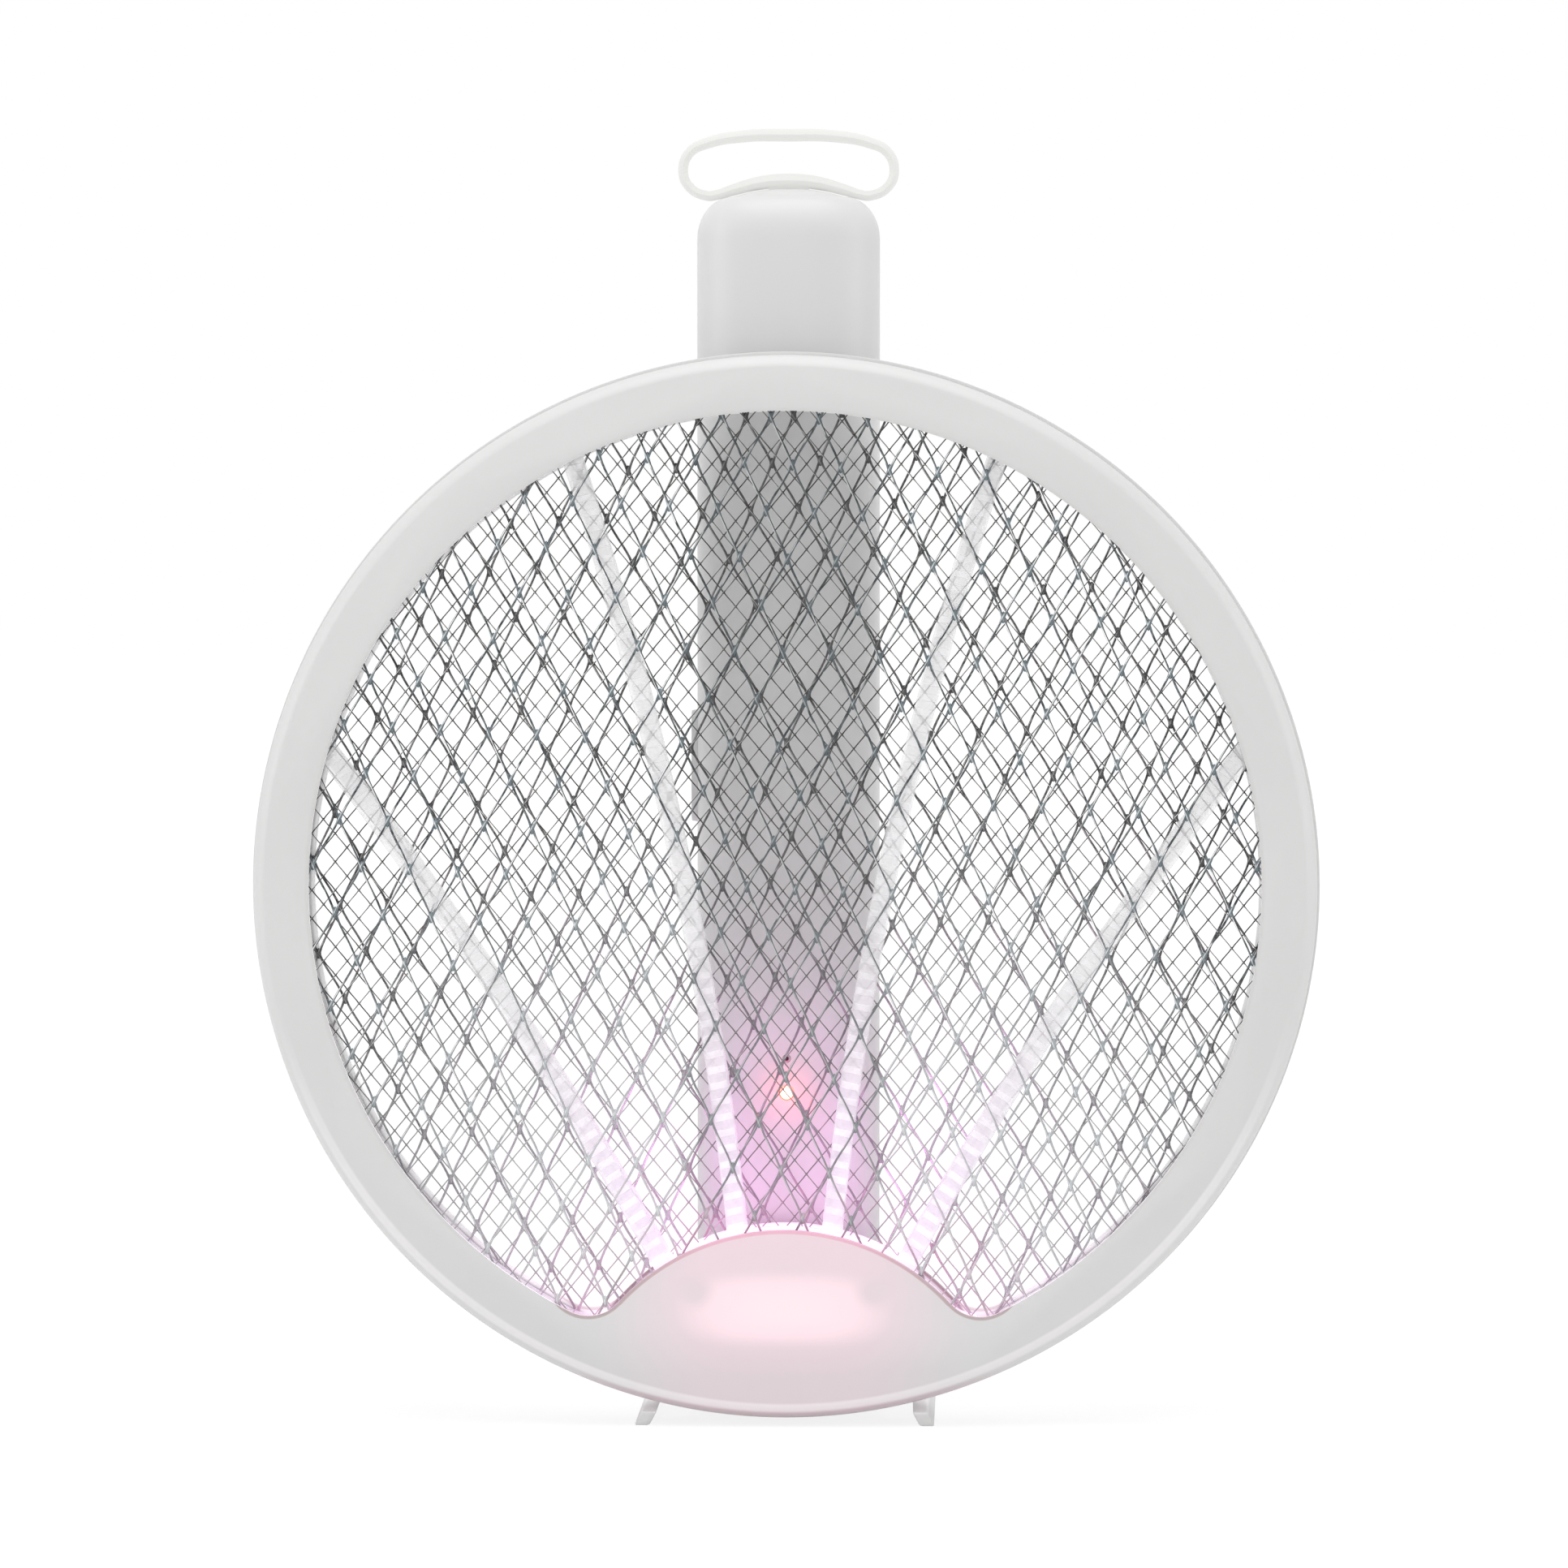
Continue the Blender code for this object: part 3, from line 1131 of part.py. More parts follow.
def build():
    clear_scene()
    ring = empty("ring_centre", (0, -DEPTH_MIDDLE, FOOT_DROP))
    pivot = empty("hinge_axis", (0, PIVOT_Y, -PIVOT_DROP), ring)
    rear = build_frame(ring)
    build_nets(ring)
    build_lamps(ring)
    boolean(rear, "DIFFERENCE", build_fork(ring, pivot))
    build_pin(pivot)
    build_knuckle(pivot)
    build_leg("stand_leg_left", -1, pivot)
    build_leg("stand_leg_right", 1, pivot)
    build_handle(pivot)
    knob_underside = build_controls(pivot)
    build_circuit(pivot, knob_underside)
    build_loop(pivot)
    bpy.context.view_layer.update()


build()
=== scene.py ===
from math import atan2, cos, hypot, pi, radians, sin, sqrt

import bpy
from mathutils import Matrix, Vector


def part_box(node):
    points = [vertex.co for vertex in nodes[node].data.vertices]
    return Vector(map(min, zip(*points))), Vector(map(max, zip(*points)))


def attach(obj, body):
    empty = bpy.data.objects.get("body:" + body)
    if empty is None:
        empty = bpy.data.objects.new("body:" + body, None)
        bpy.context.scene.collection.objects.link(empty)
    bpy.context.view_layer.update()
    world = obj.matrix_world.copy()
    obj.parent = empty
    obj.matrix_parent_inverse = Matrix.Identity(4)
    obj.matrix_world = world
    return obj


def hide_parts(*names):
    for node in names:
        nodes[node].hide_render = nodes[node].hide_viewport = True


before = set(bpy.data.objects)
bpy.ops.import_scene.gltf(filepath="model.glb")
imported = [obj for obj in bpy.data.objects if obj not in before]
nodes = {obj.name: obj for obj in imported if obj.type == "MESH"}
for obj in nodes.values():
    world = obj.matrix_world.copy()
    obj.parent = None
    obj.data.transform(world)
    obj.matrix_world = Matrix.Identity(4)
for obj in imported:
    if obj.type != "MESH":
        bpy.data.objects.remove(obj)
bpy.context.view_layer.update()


# places that come from the frame; metres

frontLow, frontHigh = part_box("front_frame")
rearLow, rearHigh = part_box("rear_frame")
shellLow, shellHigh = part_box("handle_front_shell")
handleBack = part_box("handle_rear_shell")[1].y

ring = {
    "x": 0.0,
    "z": (frontLow.z + frontHigh.z) / 2,
    "radius": (frontHigh.z - frontLow.z) / 2,
    "rearRadius": (rearHigh.z - rearLow.z) / 2,
    "front": frontLow.y,
    "seam": (frontHigh.y + rearLow.y) / 2,
    "back": rearHigh.y,
    "seamGap": rearLow.y - frontHigh.y,
    "wall": 0.0020,
    "opening": 0.0985,
    "arch": 0.0466,
    "archDrop": 0.1175,
    "fillet": 0.0084,
    "shoulder": 0.0026,
    "lip": 0.0007,
    "facets": 288,
}

handle = {
    "x": 0.0,
    "y": (shellLow.y + handleBack) / 2,
    "halfWidth": (shellHigh.x - shellLow.x) / 2,
    "halfDepth": (handleBack - shellLow.y) / 2,
    "bottom": shellLow.z,
    "crown": shellHigh.z,
    "wall": 0.0018,
    "squareness": 2.6,
    "domeHeight": 0.0106,
    "crownRadius": 0.0400,
    "corner": 0.0072,
    "halfGap": 0.00012,
}


def filletCentre():  # of the round between the ring and the arch, from the ring's centre: across, down
    fromRing = ring["opening"] - ring["fillet"]
    fromArch = ring["arch"] + ring["fillet"]
    drop = (fromRing**2 - fromArch**2 + ring["archDrop"] ** 2) / (2 * ring["archDrop"])
    return sqrt(fromRing**2 - drop**2), drop


# small modelling helpers


def middleOf(node):
    low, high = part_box(node)
    return (low + high) / 2


def sizeOf(node):
    low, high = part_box(node)
    return high - low


def only(*objs):
    bpy.ops.object.select_all(action="DESELECT")
    for obj in objs:
        obj.select_set(True)
    bpy.context.view_layer.objects.active = objs[0]


def settle():  # moves the object's place into its mesh
    bpy.ops.object.transform_apply(location=True, rotation=True, scale=True)


def placed(obj, matrix):
    obj.matrix_world = matrix
    only(obj)
    settle()
    return obj


def editAll():
    bpy.ops.object.mode_set(mode="EDIT")
    bpy.ops.mesh.select_all(action="SELECT")


def mend():  # joins the points that meet and turns the faces outwards
    bpy.ops.mesh.select_all(action="SELECT")
    bpy.ops.mesh.remove_doubles(threshold=0.00001)
    bpy.ops.mesh.normals_make_consistent(inside=False)
    bpy.ops.object.mode_set(mode="OBJECT")


def newest(name):
    obj = bpy.context.object
    obj.name = obj.data.name = name
    return obj


def addCylinder(name, radius, start, end, x, z, facets):  # along Y
    bpy.ops.mesh.primitive_cylinder_add(
        vertices=facets, radius=radius, depth=end - start,
        location=(x, (start + end) / 2, z), rotation=(pi / 2, 0, 0))
    settle()
    return newest(name)


def addBox(name, low, high):
    low, high = Vector(low), Vector(high)
    bpy.ops.mesh.primitive_cube_add(size=1, location=(low + high) / 2)
    bpy.context.object.scale = high - low
    settle()
    return newest(name)


def useModifier(obj, kind, **settings):
    only(obj)
    step = obj.modifiers.new(kind.lower(), kind)
    for key, value in settings.items():
        setattr(step, key, value)
    bpy.ops.object.modifier_apply(modifier=step.name)


def repeat(obj, count, step, **settings):
    useModifier(obj, "ARRAY", use_relative_offset=False, use_constant_offset=True, count=count,
                constant_offset_displace=step, **settings)


def combine(obj, tool, operation="DIFFERENCE"):
    useModifier(obj, "BOOLEAN", operation=operation, object=tool, solver="EXACT")
    bpy.data.objects.remove(tool, do_unlink=True)


def drill(obj, radius, start, end, at):
    combine(obj, addCylinder("hole", radius, start, end, at.x, at.z, 32))


def selectWhere(obj, what, test):  # selects the verts, edges or faces that pass the test
    bpy.ops.object.mode_set(mode="OBJECT")
    verts = obj.data.vertices
    groups = {"verts": verts, "edges": obj.data.edges, "faces": obj.data.polygons}
    for group in groups.values():
        group.foreach_set("select", [False] * len(group))
    kind = {"verts": "VERT", "edges": "EDGE", "faces": "FACE"}[what]
    for item in groups[what]:
        corners = [item.index] if what == "verts" else item.vertices
        item.select = all(test(verts[i].co) for i in corners)
    bpy.ops.object.mode_set(mode="EDIT")
    bpy.ops.mesh.select_mode(type=kind)


def bevelEdges(obj, test, width, segments, profile=0.5):
    only(obj)
    selectWhere(obj, "edges", test)
    bpy.ops.mesh.bevel(offset=width, segments=segments, affect="EDGES", profile=profile, clamp_overlap=True)
    bpy.ops.object.mode_set(mode="OBJECT")


def finish(obj, body, material, replaced, angle=35):
    only(obj)
    bpy.ops.object.shade_smooth_by_angle(angle=radians(angle))
    obj.data.materials.clear()
    obj.data.materials.append(material)
    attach(obj, body)
    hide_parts(replaced)


def keep(material, *names):
    for name in names:
        mesh = nodes[name].data
        mesh.materials.clear()
        mesh.materials.append(material)


# shader helpers: a class for sums on sockets, one that makes nodes in any tree, and one for a material


class Signal:
    def __init__(self, wiring, socket):
        self.wiring = wiring
        self.socket = socket

    def sum(self, operation, *values):
        return self.wiring.node("ShaderNodeMath", {"operation": operation}, dict(enumerate(values)))

    def __add__(self, other):
        return self.sum("ADD", self, other)

    def __radd__(self, other):
        return self.sum("ADD", other, self)

    def __sub__(self, other):
        return self.sum("SUBTRACT", self, other)

    def __rsub__(self, other):
        return self.sum("SUBTRACT", other, self)

    def __mul__(self, other):
        return self.sum("MULTIPLY", self, other)

    def __rmul__(self, other):
        return self.sum("MULTIPLY", other, self)

    def __truediv__(self, other):
        return self.sum("DIVIDE", self, other)

    def __pow__(self, other):
        return self.sum("POWER", self, other)

    def root(self):
        return self.sum("SQRT", self)

    def size(self):
        return self.sum("ABSOLUTE", self)

    def wave(self):
        return self.sum("SINE", self)

    def fraction(self):
        return self.sum("FRACT", self)

    def greater(self, other):
        return self.sum("MAXIMUM", self, other)

    def clipped(self):
        return self.wiring.node("ShaderNodeClamp", {}, {0: self})

    def ease(self, low, high):  # 0 below low, 1 above high, smooth between; low may be the greater
        settings = {"interpolation_type": "SMOOTHSTEP"}
        if low < high:
            return self.wiring.node("ShaderNodeMapRange", settings, {0: self, 1: low, 2: high})
        return 1 - self.wiring.node("ShaderNodeMapRange", settings, {0: self, 1: high, 2: low})


def distance(side, rise):
    return (side * side + rise * rise).root()


class Wiring:
    def __init__(self, tree):
        self.tree = tree

    def node(self, kind, settings=None, inputs=None, output=0):
        made = self.tree.nodes.new(kind)
        for key, value in (settings or {}).items():
            setattr(made, key, value)
        for key, value in (inputs or {}).items():
            if isinstance(value, Signal):
                self.tree.links.new(value.socket, made.inputs[key])
            else:
                made.inputs[key].default_value = value
        return Signal(self, made.outputs[output]) if made.outputs else None

    def inPlainView(self):  # 1 for what the camera sees, also in a reflection or through clear plastic
        kinds = ("Is Camera Ray", "Is Glossy Ray", "Is Transmission Ray")
        camera, glossy, through = [self.node("ShaderNodeLightPath", output=kind) for kind in kinds]
        return camera.greater(glossy).greater(through)


class Paint(Wiring):
    def __init__(self, name, **constants):
        self.material = bpy.data.materials.new(name)
        self.material.use_nodes = True
        super().__init__(self.material.node_tree)
        self.shader = self.tree.nodes["Principled BSDF"]
        for key, value in constants.items():
            self.shader.inputs[key.replace("_", " ")].default_value = value

    def place(self):  # x, y and z of the point that is shaded
        coordinates = self.node("ShaderNodeTexCoord", output="Object")
        parts = [self.node("ShaderNodeSeparateXYZ", {}, {0: coordinates}, axis) for axis in "XYZ"]
        return coordinates, *parts

    def noise(self, where, scale, detail=3.0, roughness=0.5):
        return self.node("ShaderNodeTexNoise", {"noise_dimensions": "3D"},
                         {"Vector": where, "Scale": scale, "Detail": detail, "Roughness": roughness})

    def blend(self, factor, first, second):
        made = self.tree.nodes.new("ShaderNodeMix")
        made.data_type = "RGBA"
        for key, value in ((0, factor), (6, first), (7, second)):
            if isinstance(value, Signal):
                self.tree.links.new(value.socket, made.inputs[key])
            elif key:
                made.inputs[key].default_value = (*value, 1.0)
            else:
                made.inputs[key].default_value = value
        return Signal(self, made.outputs[2])

    def feed(self, name, signal):
        self.tree.links.new(signal.socket, self.shader.inputs[name])

    def bump(self, height, strength, distance):
        values = {"Strength": strength, "Distance": distance, "Height": height}
        self.feed("Normal", self.node("ShaderNodeBump", {}, values))

    def speckle(self, where, strength):  # the fine grain of a mould
        self.bump(self.noise(where, plastic["grainScale"], 2.0), strength, plastic["grainDepth"])


# materials


plastic = {
    "specular": 0.42,
    "cloudScale": 35.0,
    "grain": 0.25,
    "grainScale": 2600.0,
    "grainDepth": 0.00004,
    "white": (0.70, 0.70, 0.70),
    "whiteShade": (0.6755, 0.6755, 0.6755),
    "handle": (0.690, 0.690, 0.690),
    # painted light: the paler tone for the handle's front behind the head
    "handlePaintedLight": (0.805, 0.805, 0.803),
    "handleCloud": (0.66, 0.66, 0.66),
    "leg": (0.66, 0.66, 0.655),
    "legShade": (0.635, 0.635, 0.63),
    # painted light: the legs' emission, against the shade under the frame
    "legGlow": ((0.07, 0.07, 0.07), (0.32, 0.32, 0.32)),  # foot, upper part
    "legGlowZ": (0.0020, 0.0036),
}


def hingePlastic():
    paint = Paint("frameWhite", Specular_IOR_Level=plastic["specular"])
    where = paint.place()[0]
    cloud = paint.noise(where, plastic["cloudScale"])
    paint.feed("Base Color", paint.blend(cloud.ease(0.3, 0.7), plastic["whiteShade"], plastic["white"]))
    paint.feed("Roughness", 0.42 + (cloud - 0.5) * 0.10)
    paint.speckle(where, plastic["grain"])
    return paint.material


hubGlow = {
    "drop": 0.0872,
    "reach": (0.0188, 0.0067),
    "skirt": (0.190, 0.048, 0.085),
    "halo": (0.305, 0.135, 0.175),
    "core": (0.280, 0.170, 0.195),
    "archBand": (0.160, 0.035, 0.070),
    # painted pink light from the glow on the hub's face
    "blush": (0.050, 0.014, 0.026),
    # painted shadows of two bosses in the glow
    "bossX": 0.0184,
    "bossDrop": 0.0832,
    "bossSize": (0.0052, 0.0010),
}
frameTones = {
    "plain": (0.700, 0.700, 0.696),
    "plainShade": (0.686, 0.686, 0.68208),
    # painted shade: a faint darker line along the opening's front edge
    "lip": (0.44, 0.41, 0.38),
    # painted light: a paler inner wall for the opening, so it shows less shade
    "wall": (0.90, 0.90, 0.90),
    # painted pink light from the glow, as base colour on the hub's face
    "hub": (0.710, 0.665, 0.680),
    # painted pink light from the glow on the arch's wall
    "archWall": (0.600, 0.460, 0.540),
    # painted shade tinted by the glow's pink, along the rims of the arch and the fillets
    "rimSide": (0.400, 0.280, 0.290),
    "rimMiddle": (0.700, 0.370, 0.470),
    # painted shade tinted pink along the ring's lower edge
    "lowRim": (0.560, 0.450, 0.480),
    # painted highlight on the ring's lower shoulder
    "shoulder": (0.860, 0.850, 0.850),
    # painted light: emission on the opening's inner wall, stronger by the fillets
    "wallGlow": (0.22, 0.22, 0.22),
    "lowWallGlow": (0.40, 0.35, 0.38),
    "unlit": (0.0, 0.0, 0.0),
}


def framePlastic():  # masks first, in metres from the ring's centre and from the arch's, then the colours
    paint = Paint("framePlastic", Specular_IOR_Level=plastic["specular"], Emission_Strength=1.0)
    where, x, y, z = paint.place()
    cloud = paint.noise(where, 30.0)
    side = x - ring["x"]
    rise = z - ring["z"]
    fromRing = distance(side, rise)
    fromArch = distance(side, rise + ring["archDrop"])
    face = y.ease(ring["front"] + 0.0016, ring["front"] + 0.0006)
    aboveHub = rise.ease(-0.078, -0.070)
    onHub = fromArch.ease(ring["arch"] + 0.0006, ring["arch"] - 0.0002)
    # painted shade along the opening's front edge
    lip = fromRing.ease(ring["opening"] + 0.0009, ring["opening"] + 0.0002) * aboveHub
    # painted light on the opening's inner wall
    wall = fromRing.ease(ring["opening"] + 0.0012, ring["opening"] + 0.0004) * (1 - face)
    # painted pink light on the arch's wall
    archWall = fromArch.ease(ring["arch"] - 0.0006, ring["arch"] - 0.0002) * (1 - face) * onHub
    archWall = archWall * rise.ease(-0.093, -0.089)
    filletX, filletDrop = filletCentre()
    fromFillet = distance(side.size() - filletX, rise + filletDrop)
    # painted shade tinted pink along the rims of the arch and the fillets
    rim = fromArch.ease(ring["arch"] - 0.0008, ring["arch"] - 0.0005) * onHub * rise.ease(-0.0866, -0.0860)
    rim = rim + fromFillet.ease(ring["fillet"] + 0.0007, ring["fillet"] + 0.0004) * rise.ease(-0.082, -0.085)
    # painted shade tinted pink along the ring's lower edge
    lowRim = fromRing.ease(ring["radius"] - 0.0022, ring["radius"] - 0.0006) * rise.ease(-0.098, -0.106)
    # painted highlight on the ring's lower shoulder
    shoulder = fromRing.ease(ring["radius"] - 0.0034, ring["radius"] - 0.0028) * rise.ease(-0.020, -0.070)
    shoulder = shoulder * fromRing.ease(ring["radius"] - 0.0010, ring["radius"] - 0.0018)
    middle = (side / 0.032).size().ease(1.0, 0.30)
    # where the glow's pink light is painted on the hub's face
    blush = (side / 0.040).size().ease(1.0, 0.3) * onHub * face

    base = paint.blend(cloud.ease(0.3, 0.7), frameTones["plainShade"], frameTones["plain"])
    base = paint.blend(lip * face * 0.12, base, frameTones["lip"])
    base = paint.blend(wall, base, frameTones["wall"])
    base = paint.blend(blush, base, frameTones["hub"])
    base = paint.blend(archWall, base, frameTones["archWall"])
    rose = paint.blend(middle, frameTones["rimSide"], frameTones["rimMiddle"])
    base = paint.blend(rim.clipped() * 0.7, base, rose)
    base = paint.blend(lowRim * 0.8, base, frameTones["lowRim"])
    paint.feed("Base Color", paint.blend(shoulder * 0.8, base, frameTones["shoulder"]))

    across = side / hubGlow["reach"][0]
    down = (rise + hubGlow["drop"]) / hubGlow["reach"][1]
    spread = (across.size() ** 3.0 + down.size() ** 3.0) ** (1 / 3)
    # painted shadows of two bosses in the glow
    boss = distance(side.size() - hubGlow["bossX"], rise + hubGlow["bossDrop"]).ease(*hubGlow["bossSize"])
    archBand = fromArch.ease(ring["arch"] - 0.0150, ring["arch"] - 0.0010) * middle
    lit = onHub * face
    # painted light: emission on the opening's inner wall
    glow = paint.blend(aboveHub, frameTones["lowWallGlow"], frameTones["wallGlow"])
    light = paint.blend(wall * (1 - onHub), frameTones["unlit"], glow)
    light = paint.blend(blush, light, hubGlow["blush"])
    light = paint.blend(archBand * lit, light, hubGlow["archBand"])
    light = paint.blend(spread.ease(2.30, 0.90) * lit * (1 - boss) * 0.45, light, hubGlow["skirt"])
    light = paint.blend(spread.ease(1.30, 0.72) * lit * (1 - boss * 0.9), light, hubGlow["halo"])
    light = paint.blend(spread.ease(0.95, 0.15) * lit, light, hubGlow["core"])
    paint.feed("Emission Color", light)
    paint.feed("Roughness", 0.40 + (cloud - 0.5) * 0.08)
    paint.speckle(where, 0.2)
    return paint.material


def netWire(name, net, tones):
    paint = Paint(name, Metallic=0.80)
    where, x, y, z = paint.place()
    side = x - ring["x"]
    rise = z - ring["z"]
    fromArch = distance(side, rise + ring["archDrop"])
    offX, offZ = side - net["node"][0], rise - net["node"][1]
    along = offX * cos(net["tilt"]) - offZ * sin(net["tilt"])
    up = offX * sin(net["tilt"]) + offZ * cos(net["tilt"])
    column, row = along / net["width"], up / net["height"]
    rising = (column - row + 0.5).fraction() - 0.5
    falling = (column + row + 0.5).fraction() - 0.5
    knot = (rising.size() + falling.size()).ease(0.20, 0.10)
    edge = net["strand"] * tones["glintSide"] / net["width"]
    thin = net["strand"] * 0.38 / net["width"]
    shine = paint.noise(where, tones["glintScale"], 2.0)
    lit = (rising + edge).size().ease(thin, thin * 0.4) * shine.ease(0.44, 0.52)
    lit = lit + (falling + edge).size().ease(thin, thin * 0.4) * shine.ease(0.56, 0.48)
    spangle = paint.noise(where, 900.0, 4.0, 0.65)
    tone = paint.blend(spangle.ease(0.38, 0.60), tones["dark"], tones["mid"])
    tone = paint.blend(knot * 0.65, tone, tones["knot"])
    tone = paint.blend((lit * (1 - knot * 0.5)).clipped() * tones["glintShare"], tone, tones["glint"])
    # painted shade: the wires darker in the middle, where they lie before the handle
    centre = side.size().ease(0.024, 0.018)
    tone = paint.blend(centre * 0.45, tone, tones["dark"])
    # painted light: the wires paler towards the hub, lit by its glow
    low = fromArch.ease(ring["arch"] + 0.105, ring["arch"] + 0.010) * (0.80 - centre * 0.50)
    tone = paint.blend(low, tone, tones["low"])
    # painted pink light from the glow on the wires near the arch
    near = fromArch.ease(ring["arch"] + 0.026, ring["arch"] + 0.001)
    paint.feed("Base Color", paint.blend(near * shine.ease(0.35, 0.70) * 0.75, tone, tones["near"]))
    paint.feed("Roughness", 0.30 + spangle * 0.18)
    paint.bump(spangle, 0.25, 0.00006)
    return paint.material


clearTones = {
    "body": (0.86, 0.86, 0.865),
    # painted lilac light from the glow, in the base colour near the arch
    "bodyNear": (0.80, 0.74, 0.82),
    "bar": (0.92, 0.91, 0.93),
    "dim": (0.08, 0.08, 0.08),
    "lilac": (0.26, 0.18, 0.27),
    "barLilac": (0.46, 0.40, 0.46),
    "hot": (0.20, 0.15, 0.20),
    "strip": (0.58, 0.40, 0.53),
}


def clearPlastic(name, faceY, facing):
    paint = Paint(name, IOR=1.49, Emission_Strength=1.0)
    where, x, y, z = paint.place()
    fromArch = distance(x - ring["x"], z - (ring["z"] - ring["archDrop"]))
    near = fromArch.ease(ring["arch"] + 0.070, ring["arch"] + 0.002)
    hot = fromArch.ease(ring["arch"] + 0.012, ring["arch"] + 0.001)
    edge = fromArch.ease(ring["arch"] + 0.0020, ring["arch"] + 0.0014)
    bar = ((y - faceY) * facing).ease(-0.00035, -0.00015)
    streak = paint.noise(where, 260.0)
    grain = paint.noise(where, 900.0, 2.0)
    frost = 0.32 + bar * 0.22 + near * 0.26 + edge * 0.6 + (grain - 0.5) * 0.16
    paint.feed("Alpha", frost.clipped())
    # painted lilac light in the base colour near the arch
    body = paint.blend(near * 0.6, clearTones["body"], clearTones["bodyNear"])
    paint.feed("Base Color", paint.blend(bar * 0.6, body, clearTones["bar"]))
    light = paint.blend(near * (0.35 + streak * 0.5), clearTones["dim"], clearTones["lilac"])
    light = paint.blend(near * bar * streak.ease(0.3, 0.6) * 0.7, light, clearTones["barLilac"])
    light = paint.blend(hot * 0.5, light, clearTones["hot"])
    paint.feed("Emission Color", paint.blend(edge, light, clearTones["strip"]))
    paint.feed("Roughness", 0.14 + streak * 0.2)
    paint.bump(streak, 0.35, 0.0002)
    return paint.material


def siliconeRubber():
    paint = Paint("siliconeRubber", Specular_IOR_Level=0.2, Emission_Strength=1.0)
    where = paint.place()[0]
    cloud = paint.noise(where, 90.0)
    # painted light: emission keeps the loop evenly bright, also where it faces away from the lamps
    paint.feed("Emission Color", paint.blend(cloud, (0.44, 0.44, 0.43), (0.46, 0.46, 0.45)))
    paint.feed("Base Color", paint.blend(cloud, (0.35, 0.35, 0.34), (0.37, 0.37, 0.36)))
    paint.feed("Roughness", 0.52 + cloud * 0.12)
    paint.bump(paint.noise(where, 1800.0, 2.0), 0.1, 0.00002)
    return paint.material


def lampResin(name, colour, core, centre, radius, strength):
    paint = Paint(name, Roughness=0.12, Emission_Strength=strength)
    where, x, y, z = paint.place()
    middle = distance(x - centre.x, z - centre.z).ease(radius * 1.15, radius * 0.55)
    paint.feed("Base Color", paint.blend(middle, colour, core))
    paint.feed("Emission Color", paint.blend(middle, colour, core))
    return paint.material


def platedSteel():
    paint = Paint("platedSteel", Metallic=1.0)
    where = paint.place()[0]
    cloud = paint.noise(where, 300.0, 4.0)
    paint.feed("Base Color", paint.blend(cloud, (0.38, 0.39, 0.40), (0.58, 0.59, 0.60)))
    paint.feed("Roughness", 0.24 + cloud * 0.2)
    paint.bump(cloud, 0.2, 0.00005)
    return paint.material


def boardEnamel():
    paint = Paint("boardEnamel", Specular_IOR_Level=0.5)
    where, x, y, z = paint.place()
    track = ((x * 900.0).wave() * (z * 620.0).wave()).ease(0.55, 0.65)
    cloud = paint.noise(where, 120.0)
    paint.feed("Base Color", paint.blend(track, (0.02, 0.16, 0.06), (0.05, 0.28, 0.11)))
    paint.feed("Roughness", 0.35 + cloud * 0.15)
    paint.bump(track, 0.4, 0.00005)
    return paint.material


def tintedPart(name, dark, light, roughness, scale=150.0):
    paint = Paint(name)
    where = paint.place()[0]
    cloud = paint.noise(where, scale, 4.0)
    paint.feed("Base Color", paint.blend(cloud, dark, light))
    paint.feed("Roughness", roughness + (cloud - 0.5) * 0.15)
    paint.bump(cloud, 0.2, 0.00006)
    return paint.material


def copperWinding():
    paint = Paint("copperWinding", Metallic=0.9)
    where, x, y, z = paint.place()
    turn = (z * 12000.0).wave()
    paint.feed("Base Color", paint.blend(turn.ease(-1.0, 1.0), (0.32, 0.12, 0.04), (0.72, 0.36, 0.16)))
    paint.feed("Roughness", 0.30 + turn * 0.05)
    paint.bump(turn, 0.6, 0.0001)
    return paint.material


def handlePlastic():  # painted light: a little paler on the front where the head shades it at rest
    paint = Paint("handleWhite", Specular_IOR_Level=plastic["specular"])
    where, x, y, z = paint.place()
    cloud = paint.noise(where, plastic["cloudScale"])
    shaded = z.ease(ring["z"] + 0.108, ring["z"] + 0.100) * y.ease(handle["y"] + 0.001, handle["y"] - 0.005)
    tone = paint.blend(shaded, plastic["handle"], plastic["handlePaintedLight"])
    paint.feed("Base Color", paint.blend(cloud.ease(0.3, 0.7) * 0.3, tone, plastic["handleCloud"]))
    paint.feed("Roughness", 0.38 + (cloud - 0.5) * 0.10)
    paint.speckle(where, plastic["grain"])
    return paint.material


def legPlastic():  # painted light: emission lifts the upper part out of the shade under the frame
    paint = Paint("legWhite", Specular_IOR_Level=plastic["specular"], Emission_Strength=1.0)
    where, x, y, z = paint.place()
    cloud = paint.noise(where, plastic["cloudScale"])
    paint.feed("Base Color", paint.blend(cloud.ease(0.3, 0.7), plastic["legShade"], plastic["leg"]))
    paint.feed("Emission Color", paint.blend(z.ease(*plastic["legGlowZ"]), *plastic["legGlow"]))
    paint.feed("Roughness", 0.45 + (cloud - 0.5) * 0.10)
    paint.speckle(where, plastic["grain"])
    return paint.material


